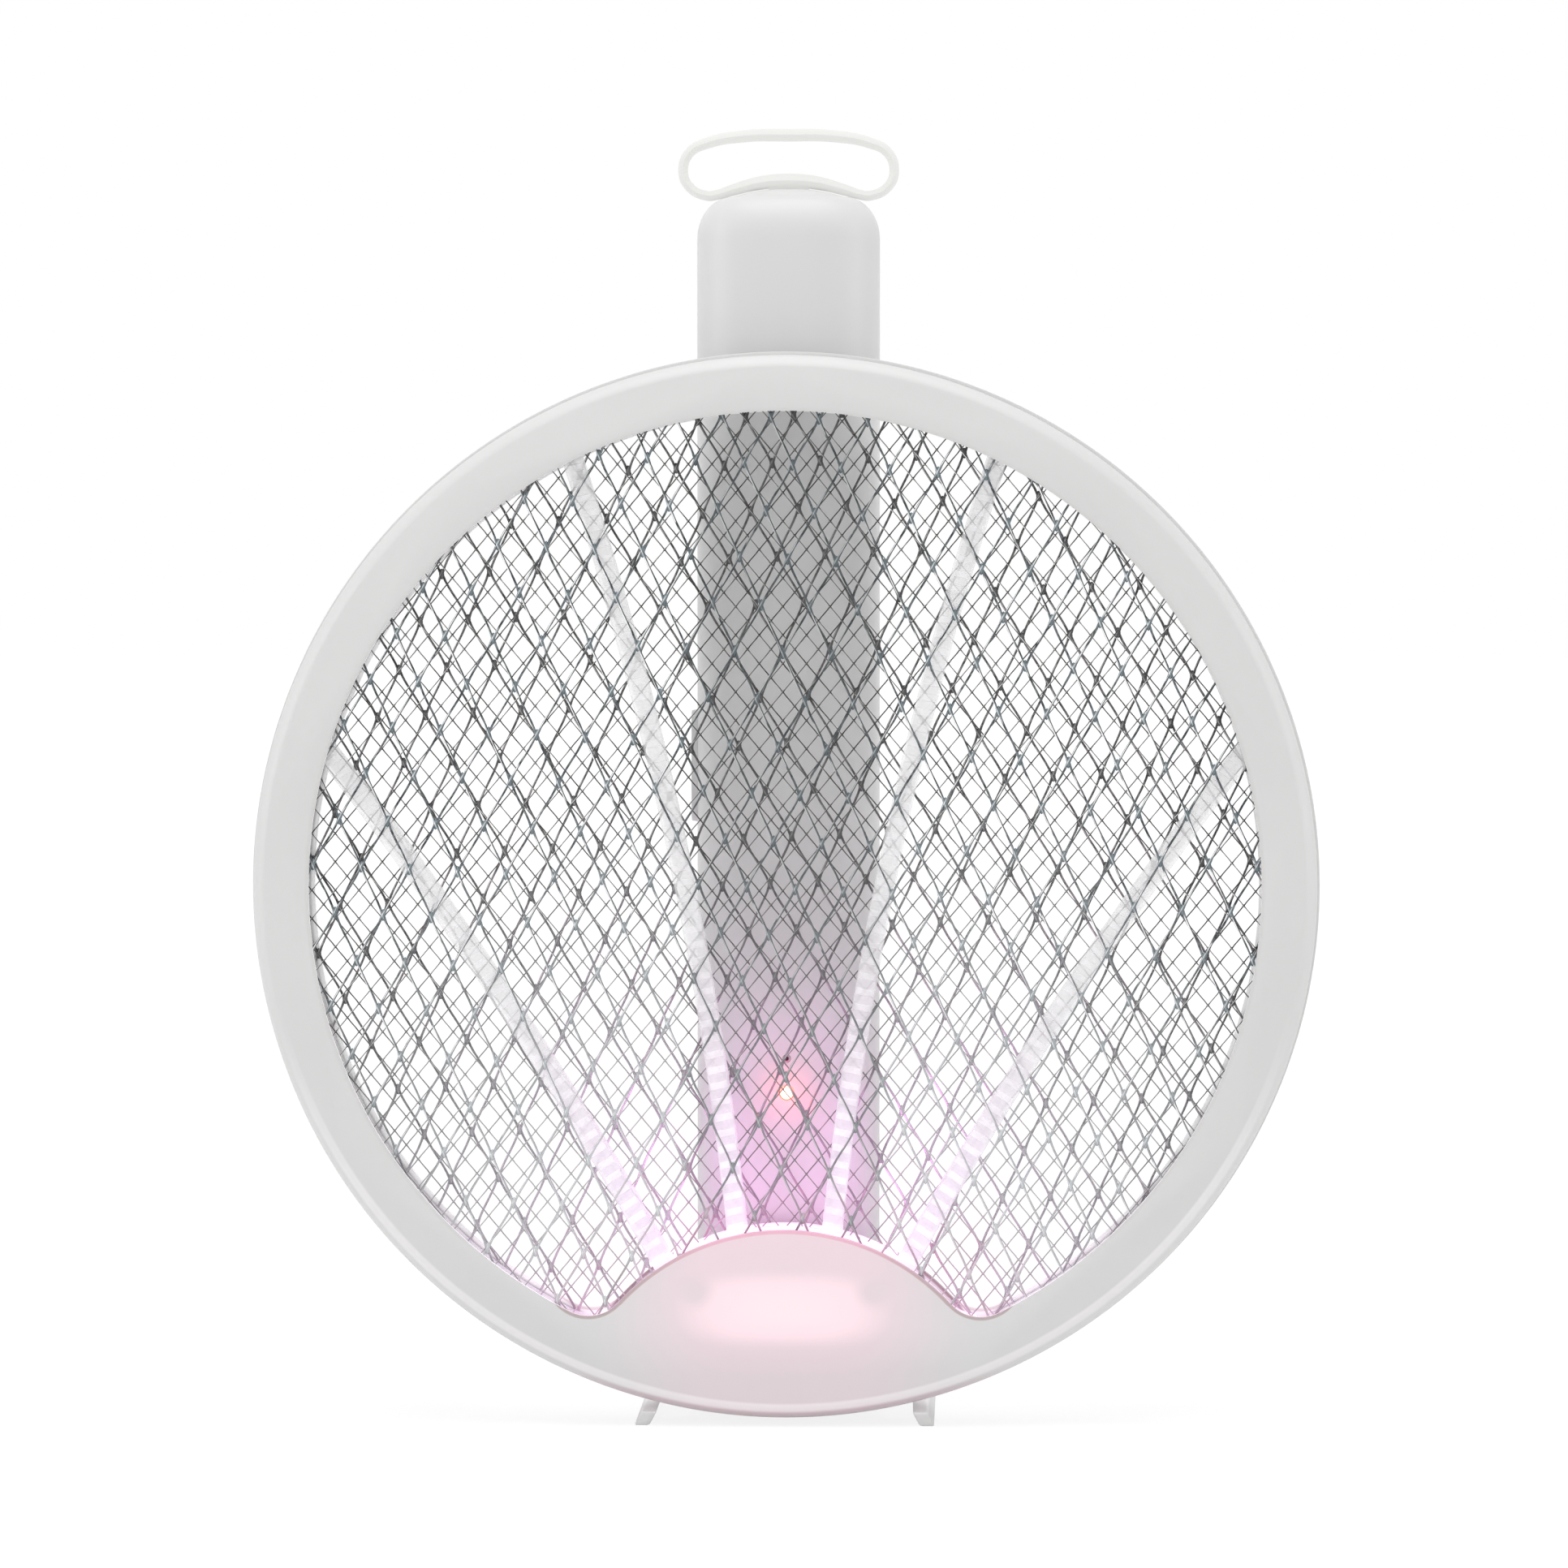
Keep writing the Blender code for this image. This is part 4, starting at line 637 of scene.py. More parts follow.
frameWhite = hingePlastic()
frontWhite = framePlastic()
handleWhite = handlePlastic()
legWhite = legPlastic()
silicone = siliconeRubber()
steel = platedSteel()
board = boardEnamel()
blackPlastic = tintedPart("blackPlastic", (0.012, 0.012, 0.014), (0.03, 0.03, 0.033), 0.45)
greyPlastic = tintedPart("greyPlastic", (0.33, 0.33, 0.335), (0.40, 0.40, 0.405), 0.48)
redDip = tintedPart("redDip", (0.32, 0.03, 0.02), (0.50, 0.07, 0.04), 0.3)
batteryWrap = tintedPart("batteryWrap", (0.02, 0.10, 0.32), (0.03, 0.14, 0.42), 0.32, 60.0)
copper = copperWinding()
redLamp = middleOf("red_lamp")
redResin = lampResin("redResin", (0.95, 0.02, 0.01), (1.0, 0.62, 0.45), redLamp, 0.0015, 3.5)
chargeLamp = middleOf("charge_lamp")
chargeResin = lampResin("chargeResin", (0.62, 0.50, 0.54), (0.06, 0.01, 0.03), chargeLamp, 0.0006, 0.05)
violetResin = tintedPart("violetResin", (0.60, 0.45, 0.85), (0.80, 0.66, 0.98), 0.2)
print("materials made")


# the opening, as tools that cut it


cutPast = 0.010  # how far a cutter stands past what it cuts
cornerCut = {"depth": 0.006, "overlap": 0.002, "facets": 64}


def openingTools(start, end, grow=0.0):  # two solids whose union is the opening, grown all round
    filletX, filletDrop = filletCentre()
    facets = ring["facets"]
    main = addCylinder("openingMain", ring["opening"] + grow, start, end, ring["x"], ring["z"], facets)
    archZ = ring["z"] - ring["archDrop"]
    arch = addCylinder("openingArch", ring["arch"] - grow, start - cutPast, end + cutPast,
                       ring["x"], archZ, facets)
    combine(main, arch)
    rounds = None
    for side in (-1, 1):
        centre = Vector((side * filletX, -filletDrop))
        onRing = centre.normalized() * (ring["opening"] + grow)
        towardArch = (Vector((0, -ring["archDrop"])) - centre).normalized()
        onArch = centre + towardArch * (ring["fillet"] + grow)
        middle = (onRing + onArch) / 2
        chord = onRing - onArch
        turn = -atan2(chord.y * side, chord.x * side)
        down = Vector((chord.y, -chord.x)).normalized() * side
        depth = cornerCut["depth"]
        boxCentre = middle + down * depth
        reach = chord.length / 2 + cornerCut["overlap"]
        corner = addBox("corner", (-reach, start - cutPast, -depth), (reach, end + cutPast, depth))
        place = Matrix.Translation((boxCentre.x + ring["x"], 0, boxCentre.y + ring["z"]))
        combine(main, placed(corner, place @ Matrix.Rotation(turn, 4, "Y")))
        ball = addCylinder("round", ring["fillet"] + grow, start, end,
                           ring["x"] + centre.x, ring["z"] + centre.y, cornerCut["facets"])
        if rounds is None:
            rounds = ball
        else:
            only(rounds, ball)
            bpy.ops.object.join()
    return main, rounds


def cutOpening(obj, start, end, grow=0.0):
    for tool in openingTools(start, end, grow):
        combine(obj, tool)


def insideOpening(x, z, grow):  # the fillets are left out, so this is a little generous
    r = hypot(x - ring["x"], z - ring["z"])
    a = hypot(x - ring["x"], z - ring["z"] + ring["archDrop"])
    return r < ring["opening"] + grow and a > ring["arch"] - grow


frameHalf = {
    "shoulderProfile": 0.38,
    "trayDepth": 0.004,  # how far past the seam the tray's cutter reaches
    "seamRound": 0.00025,
    "screwHole": 0.0020,
    "screwSunk": 0.0017,
    "boss": 0.0030,
    "bossTop": 0.0018,
}


def makeFrameHalf(name, facing, radius):
    outer = ring["front"] if facing < 0 else ring["back"]
    seam = ring["seam"] + facing * ring["seamGap"] / 2
    start, end = sorted((outer, seam))
    half = addCylinder(name, radius, start, end, ring["x"], ring["z"], ring["facets"])
    bevelEdges(half, lambda co: abs(co.y - outer) < 1e-6, ring["shoulder"], 7, frameHalf["shoulderProfile"])
    trayStart, trayEnd = sorted((outer - facing * ring["wall"], seam - facing * frameHalf["trayDepth"]))
    tray = addCylinder("tray", radius - ring["wall"], trayStart, trayEnd, ring["x"], ring["z"],
                       ring["facets"])
    combine(half, tray)
    cutOpening(half, start - cutPast / 2, end + cutPast / 2)
    bevelEdges(half, lambda co: abs(co.y - outer) < 1e-6 and insideOpening(co.x, co.z, 0.0002),
               ring["lip"], 3)
    bevelEdges(half, lambda co: abs(co.y - seam) < 1e-6 and hypot(co.x, co.z - ring["z"]) > radius - 0.0001,
               frameHalf["seamRound"], 2)
    return half


def makeFrame():
    front = makeFrameHalf("frontFrame", -1, ring["radius"])
    finish(front, "head", frontWhite, "front_frame")
    rear = makeFrameHalf("rearFrame", 1, ring["rearRadius"])
    for number in range(1, 7):
        screw = middleOf(f"frame_screw_{number}")
        drill(rear, frameHalf["screwHole"], ring["back"] - frameHalf["screwSunk"], ring["back"] + cutPast,
              screw)
        boss = addCylinder("boss", frameHalf["boss"], ring["seam"], ring["back"] - frameHalf["bossTop"],
                           screw.x, screw.z, 24)
        combine(rear, boss, "UNION")
    finish(rear, "head", frontWhite, "rear_frame")
    print("frame halves made")


makeFrame()


# nets of expanded wire

guardNet = {
    "width": 0.01000,
    "height": 0.01945,
    "strand": 0.00045,
    "thickness": 0.00026,
    "overlap": 0.00016,
    "curve": 0.42,
    "lean": radians(30),
    "steps": 7,
    "knot": (0.00092, 0.00056, 0.00250),
    "margin": 0.0042,
    "tilt": radians(2.9),
    "node": (0.0007, 0.0679),
}
rearNet = {
    **guardNet,
    "strand": 0.00049,
    "knot": (0.00115, 0.00060, 0.00230),
    "tilt": radians(-3.0),
    "node": (-0.0029, 0.0877),
}
liveNet = {
    "width": 0.0049,
    "height": 0.0059,
    "strand": 0.00028,
    "thickness": 0.00018,
    "overlap": 0.00005,
    "curve": 0.24,
    "lean": radians(20),
    "steps": 4,
    "knot": (0.00044, 0.00030, 0.00062),
    "margin": 0.0042,
    "tilt": 0.0,
    "node": (-0.0005, -0.0010),
}
# low and near in each set of tones are painted light from the hub's glow
frontTones = {
    "dark": (0.052, 0.060, 0.065),
    "mid": (0.185, 0.203, 0.210),
    "knot": (0.190, 0.235, 0.255),
    "glint": (0.980, 0.985, 0.990),
    "glintShare": 1.0,
    "glintSide": 0.42,
    "glintScale": 130.0,
    "low": (0.680, 0.690, 0.700),
    "near": (0.700, 0.520, 0.610),
}
rearTones = {
    "dark": (0.095, 0.094, 0.092),
    "mid": (0.250, 0.247, 0.243),
    "knot": (0.090, 0.092, 0.096),
    "glint": (0.800, 0.800, 0.800),
    "glintShare": 0.60,
    "glintSide": 0.45,
    "glintScale": 100.0,
    "low": (0.680, 0.670, 0.700),
    "near": (0.620, 0.380, 0.500),
}
liveTones = {
    "dark": (0.040, 0.038, 0.036),
    "mid": (0.135, 0.129, 0.123),
    "knot": (0.042, 0.040, 0.038),
    "glint": (1.000, 1.000, 0.990),
    "glintShare": 1.0,
    "glintSide": 0.42,
    "glintScale": 45.0,
    "low": (0.640, 0.630, 0.640),
    "near": (0.640, 0.420, 0.540),
}


def strandPath(values, side):  # one strand, from a node up to the next one
    halfWidth, halfHeight = values["width"] / 2, values["height"] / 2
    offset = values["overlap"]
    points = []
    for i in range(values["steps"] + 1):
        t = i / values["steps"]
        s = t + values["curve"] * (t * t * (3 - 2 * t) - t)
        points.append(Vector((side * (offset + (halfWidth - 2 * offset) * s), 0, halfHeight * t)))
    return points


def addStrand(values, side):
    path = strandPath(values, side)
    bpy.ops.mesh.primitive_plane_add(size=1, location=(0, 0, 0))
    strand = newest("strand")
    strand.scale = (values["strand"], values["thickness"], 1)
    strand.rotation_euler = (0, 0, side * values["lean"])
    strand.location = path[0]
    settle()
    editAll()
    for before, after in zip(path, path[1:]):
        bpy.ops.mesh.extrude_region_move(TRANSFORM_OT_translate={"value": after - before})
    bpy.ops.object.mode_set(mode="OBJECT")
    return strand


def makeNet(name, node, values, tones):
    strands = [addStrand(values, side) for side in (-1, 1)]
    bpy.ops.mesh.primitive_uv_sphere_add(segments=10, ring_count=6, radius=0.5, location=(0, 0, 0))
    bpy.context.object.scale = values["knot"]
    settle()
    only(newest(name), *strands)
    bpy.ops.object.join()
    net = newest(name)
    repeat(net, 2, (values["width"] / 2, 0, values["height"] / 2))
    columns = int(2.6 * ring["opening"] / values["width"]) + 2
    below = int((1.1 * ring["opening"] + values["node"][1]) / values["height"]) + 2
    rows = below + int((1.1 * ring["opening"] - values["node"][1]) / values["height"]) + 2
    repeat(net, columns, (values["width"], 0, 0))
    repeat(net, rows, (0, 0, values["height"]))
    shift = Vector((-(columns // 2) * values["width"], 0, -below * values["height"]))
    place = (values["node"][0] + ring["x"], middleOf(node).y, values["node"][1] + ring["z"])
    turn = Matrix.Rotation(values["tilt"], 4, "Y")
    placed(net, Matrix.Translation(place) @ turn @ Matrix.Translation(shift))
    selectWhere(net, "verts", lambda co: not insideOpening(co.x, co.z, values["margin"]))
    bpy.ops.mesh.delete(type="VERT")
    mend()
    wire = netWire(name + "Wire", values, tones)
    keep(wire, node)
    finish(net, "head", wire, node, 70)
    print(name, len(net.data.polygons), "faces")


makeNet("frontGuard", "front_guard_net", guardNet, frontTones)
makeNet("rearGuard", "rear_guard_net", rearNet, rearTones)
makeNet("liveNet", "live_net", liveNet, liveTones)


# clear light guides: notched ribs, the lit strip on the arch and the ring that holds them

ribs = {
    "width": {"front": 0.0043, "rear": 0.0035},
    "pitch": 0.00327,
    "barShare": 0.46,
    "barWidth": 0.70,
    "barInset": 0.00020,
    "barRise": 0.00025,
    "round": 0.00016,
    "runs": (  # turn from the top at the ring and at the arch, bow as a share of the length
        (radians(26.6), radians(12.6), 0.029),
        (radians(74.0), radians(33.0), 0.021),
    ),
    "tuck": 0.0035,
    "faceInset": 0.0003,
    "stripRise": 0.0003,
    "stripRoot": 0.0020,
    "stripTurn": radians(30),
    "stripRound": 0.00025,
    "stripInset": 0.0001,
    "ringReach": 0.0050,
    "ringInset": 0.0010,
}


def addRib(name, run, side, width, faceY, backY, facing):
    ringTurn, archTurn, bowShare = run
    start = Vector((side * sin(ringTurn), cos(ringTurn))) * ring["opening"]
    end = Vector((side * sin(archTurn), cos(archTurn))) * ring["arch"] - Vector((0, ring["archDrop"]))
    chord = end - start
    length = chord.length + 2 * ribs["tuck"]
    count = round(length / ribs["pitch"])
    pitch = length / count
    deep = abs(faceY - backY)
    bpy.ops.mesh.primitive_cube_add(size=1, location=(0, 0, pitch / 2))
    cell = newest(name)
    cell.scale = (width, deep, pitch)
    settle()
    low, high = pitch * (1 - ribs["barShare"]) / 2, pitch * (1 + ribs["barShare"]) / 2
    bpy.ops.object.mode_set(mode="EDIT")
    for level in (low, high):
        bpy.ops.mesh.select_all(action="SELECT")
        bpy.ops.mesh.bisect(plane_co=(0, 0, level), plane_no=(0, 0, 1))
    outer = facing * deep / 2
    selectWhere(cell, "faces", lambda co: abs(co.y - outer) < 1e-7 and low - 1e-7 < co.z < high + 1e-7)
    bpy.ops.mesh.inset(thickness=ribs["barInset"], depth=0.0)
    bpy.ops.transform.resize(value=(ribs["barWidth"], 1, 1), center_override=(0, 0, 0))
    bpy.ops.transform.translate(value=(0, facing * ribs["barRise"], 0))
    selectWhere(cell, "faces", lambda co: co.z < 1e-7 or co.z > pitch - 1e-7)
    bpy.ops.mesh.delete(type="FACE")
    bpy.ops.object.mode_set(mode="OBJECT")
    repeat(cell, count, (0, 0, pitch), use_merge_vertices=True, merge_threshold=0.00001)
    bow = chord.length * bowShare
    for vert in cell.data.vertices:  # the bow of the rib, in towards the middle
        t = 2 * vert.co.z / length - 1
        vert.co.x -= side * bow * (1 - t * t)
    useModifier(cell, "BEVEL", width=ribs["round"], segments=1, limit_method="ANGLE", angle_limit=radians(60))
    selectWhere(cell, "verts", lambda co: False)
    bpy.ops.mesh.select_non_manifold()
    bpy.ops.mesh.edge_face_add()
    bpy.ops.object.mode_set(mode="OBJECT")
    along = chord.normalized()
    turn = atan2(-along.x, -along.y)
    base = end + along * ribs["tuck"]
    place = Matrix.Translation((base.x + ring["x"], (faceY + backY) / 2, base.y + ring["z"]))
    return placed(cell, place @ Matrix.Rotation(turn, 4, "Y"))


def addStrip(name, start, end):  # the lit edge that stands above the arch, spun round the arch's centre
    inner, outer = ring["arch"] - ribs["stripRoot"], ring["arch"] + ribs["stripRise"]
    archZ = ring["z"] - ring["archDrop"]
    turn = ribs["stripTurn"]
    bpy.ops.mesh.primitive_plane_add(size=1, location=(0, (start + end) / 2, archZ + (inner + outer) / 2),
                                     rotation=(0, pi / 2, 0))
    strip = newest(name)
    strip.scale = (outer - inner, end - start, 1)
    settle()
    toArch = Matrix.Translation((ring["x"], 0, archZ))
    placed(strip, toArch @ Matrix.Rotation(-turn, 4, "Y") @ toArch.inverted())
    editAll()
    bpy.ops.mesh.spin(steps=48, angle=-2 * turn, center=(ring["x"], 0, archZ), axis=(0, 1, 0))
    mend()
    useModifier(strip, "BEVEL", width=ribs["stripRound"], segments=2, limit_method="ANGLE",
                angle_limit=radians(60))
    return strip


def addClearRing(name, start, end):
    main, rounds = openingTools(start, end, ribs["ringReach"])
    combine(main, rounds, "UNION")
    cutOpening(main, start - cutPast, end + cutPast, ribs["ringInset"])
    main.name = main.data.name = name
    return main


def makeClearGrid(label, facing):
    node = f"{label}_clear_grid"
    low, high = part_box(node)
    faceY, backY = (low.y, high.y) if facing < 0 else (high.y, low.y)
    clear = clearPlastic(f"{label}Clear", faceY, facing)
    keep(clear, node)
    for runName, run in zip(("Inner", "Outer"), ribs["runs"]):
        for sideName, side in (("Left", -1), ("Right", 1)):
            rib = addRib(f"{label}Rib{runName}{sideName}", run, side, ribs["width"][label],
                         faceY - facing * ribs["faceInset"], backY, facing)
            finish(rib, "head", clear, node, 30)
    strip = addStrip(f"{label}LitStrip", low.y + ribs["stripInset"], high.y - ribs["stripInset"])
    finish(strip, "head", clear, node, 30)
    clearRing = addClearRing(f"{label}ClearRing", low.y, high.y)
    finish(clearRing, "head", clear, node, 30)


makeClearGrid("front", -1)
makeClearGrid("rear", 1)
print("clear grids made")


# handle


def sectionPoint(turn):  # the handle's cross-section, for a half width and a half depth of 1
    power = 2 / handle["squareness"]
    x = abs(cos(turn)) ** power * (1 if cos(turn) >= 0 else -1)
    y = abs(sin(turn)) ** power * (1 if sin(turn) >= 0 else -1)
    return x, y


def domeLevels(steps=10):  # (share of the half width, height) from the straight side to the crown
    half = handle["halfWidth"]
    flat = half - handle["corner"]
    reach = handle["crownRadius"]
    sag = reach - sqrt(reach**2 - flat**2)
    levels = []
    for i in range(steps + 1):
        turn = pi / 2 * i / steps
        x = flat + handle["corner"] * cos(turn)
        levels.append((x / half, handle["crown"] - sag - (handle["domeHeight"] - sag) * (1 - sin(turn))))
    for share in (0.85, 0.68, 0.5, 0.34, 0.17):
        x = flat * share
        levels.append((x / half, handle["crown"] - reach + sqrt(reach**2 - x**2)))
    return levels


def handleTube():
    bpy.ops.mesh.primitive_circle_add(vertices=96, radius=1, location=(0, 0, 0))
    tube = newest("handleTube")
    for vert in tube.data.vertices:
        x, y = sectionPoint(atan2(vert.co.y, vert.co.x))
        vert.co = (x * handle["halfWidth"], y * handle["halfDepth"], 0)
    tube.location = (handle["x"], handle["y"], handle["bottom"])
    settle()
    editAll()
    height, share = handle["bottom"], 1.0
    levels = domeLevels()
    stops = [(1.0, height + (levels[0][1] - height) * k / 6) for k in range(1, 6)] + levels
    for newShare, newHeight in stops:
        bpy.ops.mesh.extrude_region_move(TRANSFORM_OT_translate={"value": (0, 0, newHeight - height)})
        grow = newShare / share
        bpy.ops.transform.resize(value=(grow, grow, 1),
                                 center_override=(handle["x"], handle["y"], newHeight))
        height, share = newHeight, newShare
    bpy.ops.mesh.extrude_region_move(TRANSFORM_OT_translate={"value": (0, 0, handle["crown"] - height)})
    bpy.ops.mesh.merge(type="CENTER")
    bpy.ops.mesh.select_all(action="SELECT")
    bpy.ops.mesh.normals_make_consistent(inside=False)
    bpy.ops.object.mode_set(mode="OBJECT")
    useModifier(tube, "SOLIDIFY", thickness=handle["wall"], offset=-1)
    return tube


handleCuts = {
    "lampGap": (("red_lamp", 0.0002), ("charge_lamp", 0.0001)),
    "inside": 0.006,  # where a cutter stops: under the rear face, or for a lamp before the middle
    "knobSlot": (0.0033, 0.0078, 0.0007),  # half width, half height, corner
    "portGap": 0.0003,
    "portCorner": 0.0011,
    "screwHole": 0.0020,
    "screwSunk": 0.0017,
    "triggerSlot": (0.0038, 0.0127, 0.0034),  # half depth, half height, corner
    "triggerReach": 0.0036,
    "tabSlot": (0.0080, 0.0017, 0.006),  # half width, half depth, half height
}


def cutBack(shell, middle, halfWidth, halfHeight, corner, segments):  # a slot through the rear face
    slot = addBox("slot", (middle.x - halfWidth, handleBack - handleCuts["inside"], middle.z - halfHeight),
                  (middle.x + halfWidth, handleBack + cutPast, middle.z + halfHeight))
    useModifier(slot, "BEVEL", width=corner, segments=segments, limit_method="ANGLE")
    combine(shell, slot)


def cutHandle(shell, facing):
    if facing < 0:
        for node, gap in handleCuts["lampGap"]:
            drill(shell, sizeOf(node).x / 2 + gap, shellLow.y - cutPast, handle["y"] - handleCuts["inside"],
                  middleOf(node))
    else:
        cutBack(shell, middleOf("switch_knob"), *handleCuts["knobSlot"], 3)
        size, gap = sizeOf("usb_socket"), handleCuts["portGap"]
        cutBack(shell, middleOf("usb_socket"), size.x / 2 + gap, size.z / 2 + gap,
                handleCuts["portCorner"], 4)
        for number in (1, 2, 3):
            drill(shell, handleCuts["screwHole"], handleBack - handleCuts["screwSunk"], handleBack + cutPast,
                  middleOf(f"handle_screw_{number}"))
    trigger = middleOf("trigger_button")
    halfDepth, halfHeight, corner = handleCuts["triggerSlot"]
    side = handle["x"] - handle["halfWidth"] + handleCuts["triggerReach"]
    slot = addBox("slot", (trigger.x - cutPast, trigger.y - halfDepth, trigger.z - halfHeight),
                  (side, trigger.y + halfDepth, trigger.z + halfHeight))
    bevelEdges(slot, lambda co: True, corner, 6)
    combine(shell, slot)
    halfWidth, halfDepth, halfHeight = handleCuts["tabSlot"]
    slot = addBox("slot", (-halfWidth, handle["y"] - halfDepth, handle["crown"] - halfHeight),
                  (halfWidth, handle["y"] + halfDepth, handle["crown"] + halfHeight))
    combine(shell, slot)


def makeHandle():
    halves = (("handleFront", -1, "handle_front_shell"), ("handleRear", 1, "handle_rear_shell"))
    for name, facing, node in halves:
        shell = handleTube()
        shell.name = shell.data.name = name
        only(shell)
        editAll()
        split = handle["y"] + facing * handle["halfGap"]
        bpy.ops.mesh.bisect(plane_co=(0, split, 0), plane_no=(0, -facing, 0), use_fill=True, clear_outer=True)
        bpy.ops.object.mode_set(mode="OBJECT")
        cutHandle(shell, facing)
        finish(shell, "handle", handleWhite, node, 32)
    print("handle shells made")


makeHandle()


# hanging loop

loop = {
    "half": (  # from the top down its right side: across, above the crown, thickness
        (0.0000, 0.0112, 0.0027), (0.0092, 0.0110, 0.0026), (0.0170, 0.0096, 0.0024),
        (0.0208, 0.0076, 0.0022), (0.0222, 0.0039, 0.0021), (0.0210, 0.0005, 0.0021),
        (0.0172, -0.0015, 0.0021), (0.0147, -0.0012, 0.0021), (0.0118, -0.0003, 0.0024),
        (0.0058, 0.0012, 0.0029), (0.0000, 0.0016, 0.0031),
    ),
    "depth": 0.0050,
    "thickness": 0.0024,
    "tab": (0.0084, 0.0026, 0.0040, 0.0019),  # width, depth, below and above the crown
}


def makeLoop():
    half = list(loop["half"])
    points = half + [(-x, z, t) for x, z, t in reversed(half[1:-1])]
    bpy.ops.curve.primitive_nurbs_circle_add(radius=0.01, location=(0, 0, 0))
    obj = bpy.context.object
    curve = obj.data
    curve.splines.clear()
    spline = curve.splines.new("BEZIER")
    spline.bezier_points.add(len(points) - 1)
    for point, (x, z, thickness) in zip(spline.bezier_points, points):
        point.co = (x, 0, z)
        point.handle_left_type = point.handle_right_type = "AUTO"
        point.radius = thickness / 2
    spline.use_cyclic_u = True
    spline.resolution_u = 8
    curve.dimensions = "3D"
    curve.bevel_depth = 1.0
    curve.bevel_resolution = 5
    only(obj)
    bpy.ops.object.convert(target="MESH")
    band = newest("hangingLoop")
    band.scale = (1, loop["depth"] / loop["thickness"], 1)
    band.location = (handle["x"], handle["y"], handle["crown"])
    settle()
    width, depth, below, above = loop["tab"]
    tab = addBox("tab", (-width / 2, handle["y"] - depth / 2, handle["crown"] - below),
                 (width / 2, handle["y"] + depth / 2, handle["crown"] + above))
    combine(band, tab, "UNION")
    finish(band, "handle", silicone, "hanging_loop", 40)
    print("hanging loop made")


makeLoop()


# CAD pieces whose shape is right: a copy with its edges softened, or the piece itself


def soften(node, body, material, width):
    obj = nodes[node].copy()
    obj.data = nodes[node].data.copy()
    bpy.context.scene.collection.objects.link(obj)
    obj.parent = None
    obj.matrix_world = Matrix.Identity(4)
    for key in list(obj.keys()):
        del obj[key]
    parts = node.split("_")
    obj.name = obj.data.name = parts[0] + "".join(p.capitalize() for p in parts[1:])
    only(obj)
    editAll()
    bpy.ops.mesh.remove_doubles(threshold=0.000002)
    bpy.ops.mesh.dissolve_limited(angle_limit=radians(1.0))
    bpy.ops.object.mode_set(mode="OBJECT")
    if obj.data.has_custom_normals:
        bpy.ops.mesh.customdata_custom_splitnormals_clear()
    useModifier(obj, "BEVEL", width=width, segments=2, limit_method="ANGLE", angle_limit=radians(40))
    finish(obj, body, material, node, 38)


softened = (
    ("hinge_fork", "head", frameWhite, "white_abs", 0.0006),
    ("hinge_knuckle", "handle", handleWhite, "handle_abs", 0.0004),
    ("trigger_button", "trigger", handleWhite, "handle_abs", 0.00025),
    ("switch_knob", "power_knob", greyPlastic, "grey_plastic", 0.0002),
    ("stand_leg_left", "stand", legWhite, "white_abs", 0.0005),
    ("stand_leg_right", "stand", legWhite, "white_abs", 0.0005),
    ("pin_cap_left", "stand", frameWhite, "white_abs", 0.0003),
    ("pin_cap_right", "stand", frameWhite, "white_abs", 0.0003),
)
for node, body, material, slotName, width in softened:
    soften(node, body, material, width)
print("edges softened")


keep(steel, "hinge_pin", "usb_socket", "battery_contact_bottom", "battery_contact_top")
keep(steel, *[f"frame_screw_{n}" for n in range(1, 7)], *[f"fork_screw_{n}" for n in range(1, 5)])
keep(steel, *[f"handle_screw_{n}" for n in range(1, 4)])
keep(board, "lamp_board", "main_board")
keep(violetResin, *[f"uv_lamp_{n}" for n in range(1, 7)])
keep(redDip, "film_capacitor_1", "film_capacitor_2")
keep(copper, "step_up_transformer")
keep(batteryWrap, "battery_cell")
keep(blackPlastic, "slide_switch", "trigger_switch")
keep(chargeResin, "charge_lamp")
keep(redResin, "red_lamp")
keep(frontWhite, "front_frame", "rear_frame")
keep(frameWhite, "hinge_fork", "pin_cap_left", "pin_cap_right")
keep(handleWhite, "handle_front_shell", "handle_rear_shell", "hinge_knuckle", "trigger_button")
keep(legWhite, "stand_leg_left", "stand_leg_right")
keep(greyPlastic, "switch_knob")
keep(silicone, "hanging_loop")


# floor, light and camera


studio = {
    "fill": 0.58,
    "floorGlow": 1.06,
    "floorShare": 0.80,
    "floorColour": (0.92, 0.92, 0.92, 1.0),
    "plainBeyond": (0.35, 1.20),
    "azimuth": radians(1.6),
    "elevation": radians(2.5),
    "distance": 1.500,
    "lens": 167.0,
    "aimRise": 0.0216,
}


def floorMaterial():  # the shadow lies near; farther off the floor is plain white
    made = bpy.data.materials.new("paleFloor")
    made.use_nodes = True
    made.node_tree.nodes.clear()
    wiring = Wiring(made.node_tree)
    coordinates = wiring.node("ShaderNodeTexCoord", output="Object")
    away = wiring.node("ShaderNodeVectorMath", {"operation": "LENGTH"}, {0: coordinates}, "Value")
    near, far = studio["plainBeyond"]
    white = wiring.node("ShaderNodeMapRange", {}, {0: away, 1: near, 2: far, 3: studio["floorShare"], 4: 1.0})
    diffuse = wiring.node("ShaderNodeBsdfDiffuse", {}, {0: studio["floorColour"]})
    glow = wiring.node("ShaderNodeEmission", {}, {1: studio["floorGlow"]})
    mix = wiring.node("ShaderNodeMixShader", {}, {0: wiring.inPlainView() * white, 1: diffuse, 2: glow})
    wiring.node("ShaderNodeOutputMaterial", {}, {0: mix})
    return made


def makeFloor():
    bpy.ops.mesh.primitive_plane_add(size=12, location=(0, 0, 0))
    floor = newest("floor")
    floor.data.materials.append(floorMaterial())


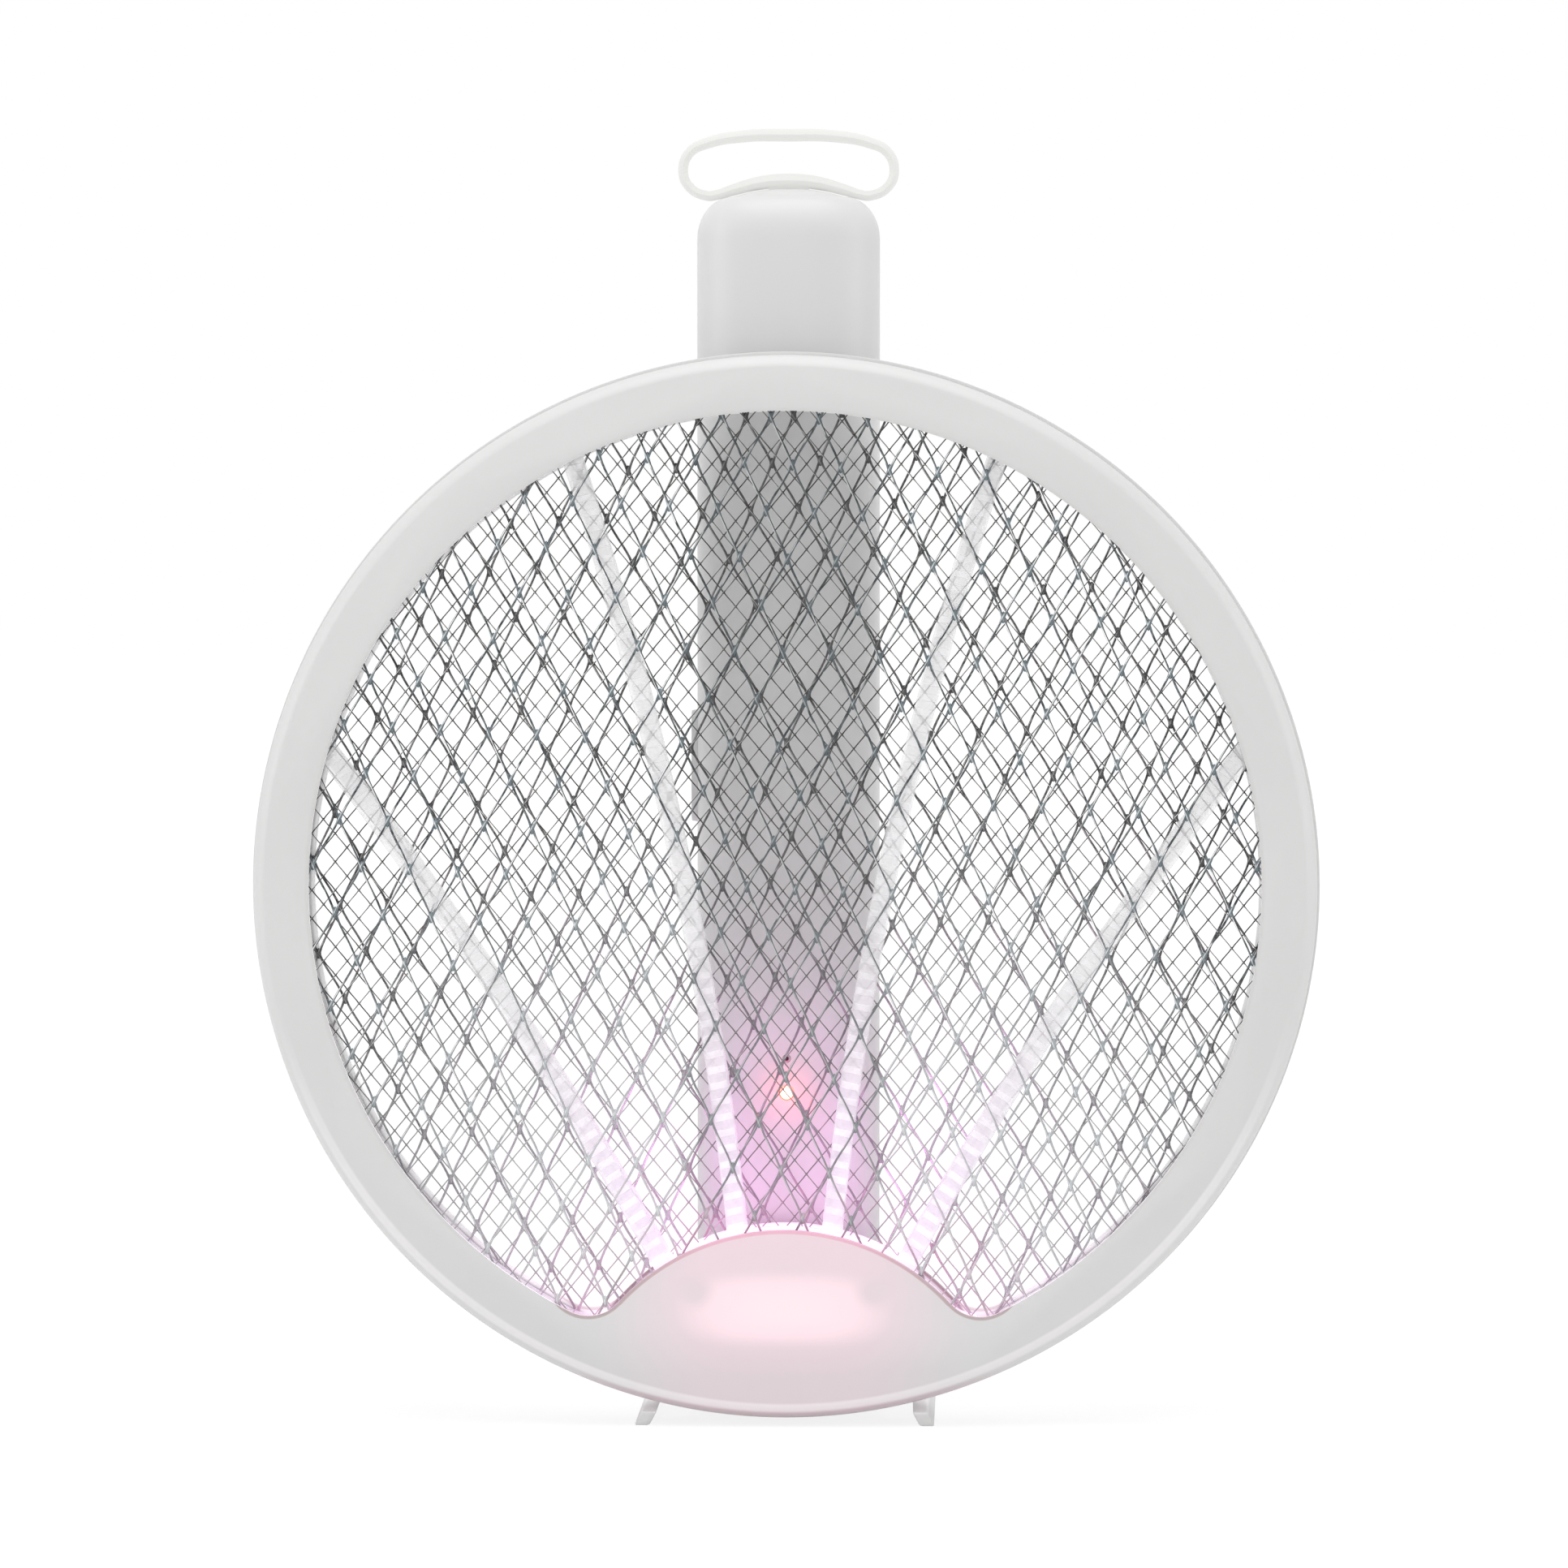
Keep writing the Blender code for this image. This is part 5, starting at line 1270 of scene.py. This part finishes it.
def makeWorld():  # a plain white background that lights less than it shows
    world = bpy.data.worlds.new("studio")
    bpy.context.scene.world = world
    world.use_nodes = True
    back = world.node_tree.nodes["Background"]
    back.inputs[0].default_value = (1, 1, 1, 1)
    strength = studio["fill"] + Wiring(world.node_tree).inPlainView() * (1 - studio["fill"])
    world.node_tree.links.new(strength.socket, back.inputs[1])


def addLamp(name, kind, where, aim, energy, size, colour=(1, 1, 1)):
    light = bpy.data.lights.new(name, kind)
    light.energy = energy
    light.color = colour
    if kind == "AREA":
        light.shape = "DISK"
        light.size = size
    else:
        light.shadow_soft_size = size
    obj = bpy.data.objects.new(name, light)
    bpy.context.scene.collection.objects.link(obj)
    obj.location = where
    obj.rotation_euler = (Vector(aim) - Vector(where)).to_track_quat("-Z", "Y").to_euler()
    return obj


def slowFalloff(lamp):  # light that fades with the distance, not with its square
    lamp.data.use_nodes = True
    tree = lamp.data.node_tree
    falloff = Wiring(tree).node("ShaderNodeLightFalloff", {}, {"Strength": 1.0}, "Linear")
    tree.links.new(falloff.socket, tree.nodes["Emission"].inputs["Strength"])


def makeCamera():
    aim = Vector((ring["x"], ring["front"], ring["z"] + studio["aimRise"]))
    flat = cos(studio["elevation"])
    away = Vector((sin(studio["azimuth"]) * flat, -cos(studio["azimuth"]) * flat, sin(studio["elevation"])))
    camera = bpy.data.objects.new("camera", bpy.data.cameras.new("camera"))
    bpy.context.scene.collection.objects.link(camera)
    camera.location = aim + away * studio["distance"]
    camera.rotation_euler = (-away).to_track_quat("-Z", "Y").to_euler()
    camera.data.lens = studio["lens"]
    camera.data.sensor_width = 36.0
    camera.data.clip_start = 0.05
    camera.data.clip_end = 30.0
    bpy.context.scene.camera = camera


makeFloor()
makeWorld()
middle = (0, 0, ring["z"])
softboxes = (  # name, place, power, size
    ("topSoftbox", (0.0, -0.3, 1.5), 10.6, 1.4),
    ("leftSoftbox", (-1.4, -0.5, 0.5), 5.0, 1.0),
    ("rightSoftbox", (1.4, -0.5, 0.5), 4.0, 1.0),
    ("frontSoftbox", (-0.4, -1.8, 0.5), 0.5, 0.8),
)
for name, where, energy, size in softboxes:
    addLamp(name, "AREA", where, middle, energy, size)
archTop = ring["z"] - ring["archDrop"] + ring["arch"]
violet = {
    "colour": (1.0, 0.35, 0.92),
    "size": 0.003,
    "y": -0.0133,
    "lamps": (  # side, rise over the arch, energy
        (-0.018, 0.006, 0.120), (-0.006, 0.007, 0.037), (0.006, 0.007, 0.037), (0.018, 0.006, 0.120),
        (-0.021, 0.021, 0.110), (-0.005, 0.022, 0.036), (0.005, 0.022, 0.036), (0.021, 0.021, 0.110),
        (-0.006, 0.039, 0.044), (0.006, 0.039, 0.044),
    ),
}
for side, rise, energy in violet["lamps"]:
    where = (side, violet["y"], archTop + rise)
    slowFalloff(addLamp("violetGlow", "POINT", where, middle, energy, violet["size"], violet["colour"]))
redGlow = {"ahead": 0.003, "energy": 0.0009, "size": 0.001, "colour": (1.0, 0.08, 0.05)}
where = redLamp - Vector((0, sizeOf("red_lamp").y / 2 + redGlow["ahead"], 0))
addLamp("redGlow", "POINT", where, middle, redGlow["energy"], redGlow["size"], redGlow["colour"])
makeCamera()
bpy.context.scene.view_settings.view_transform = "Standard"
print("stage and camera set")
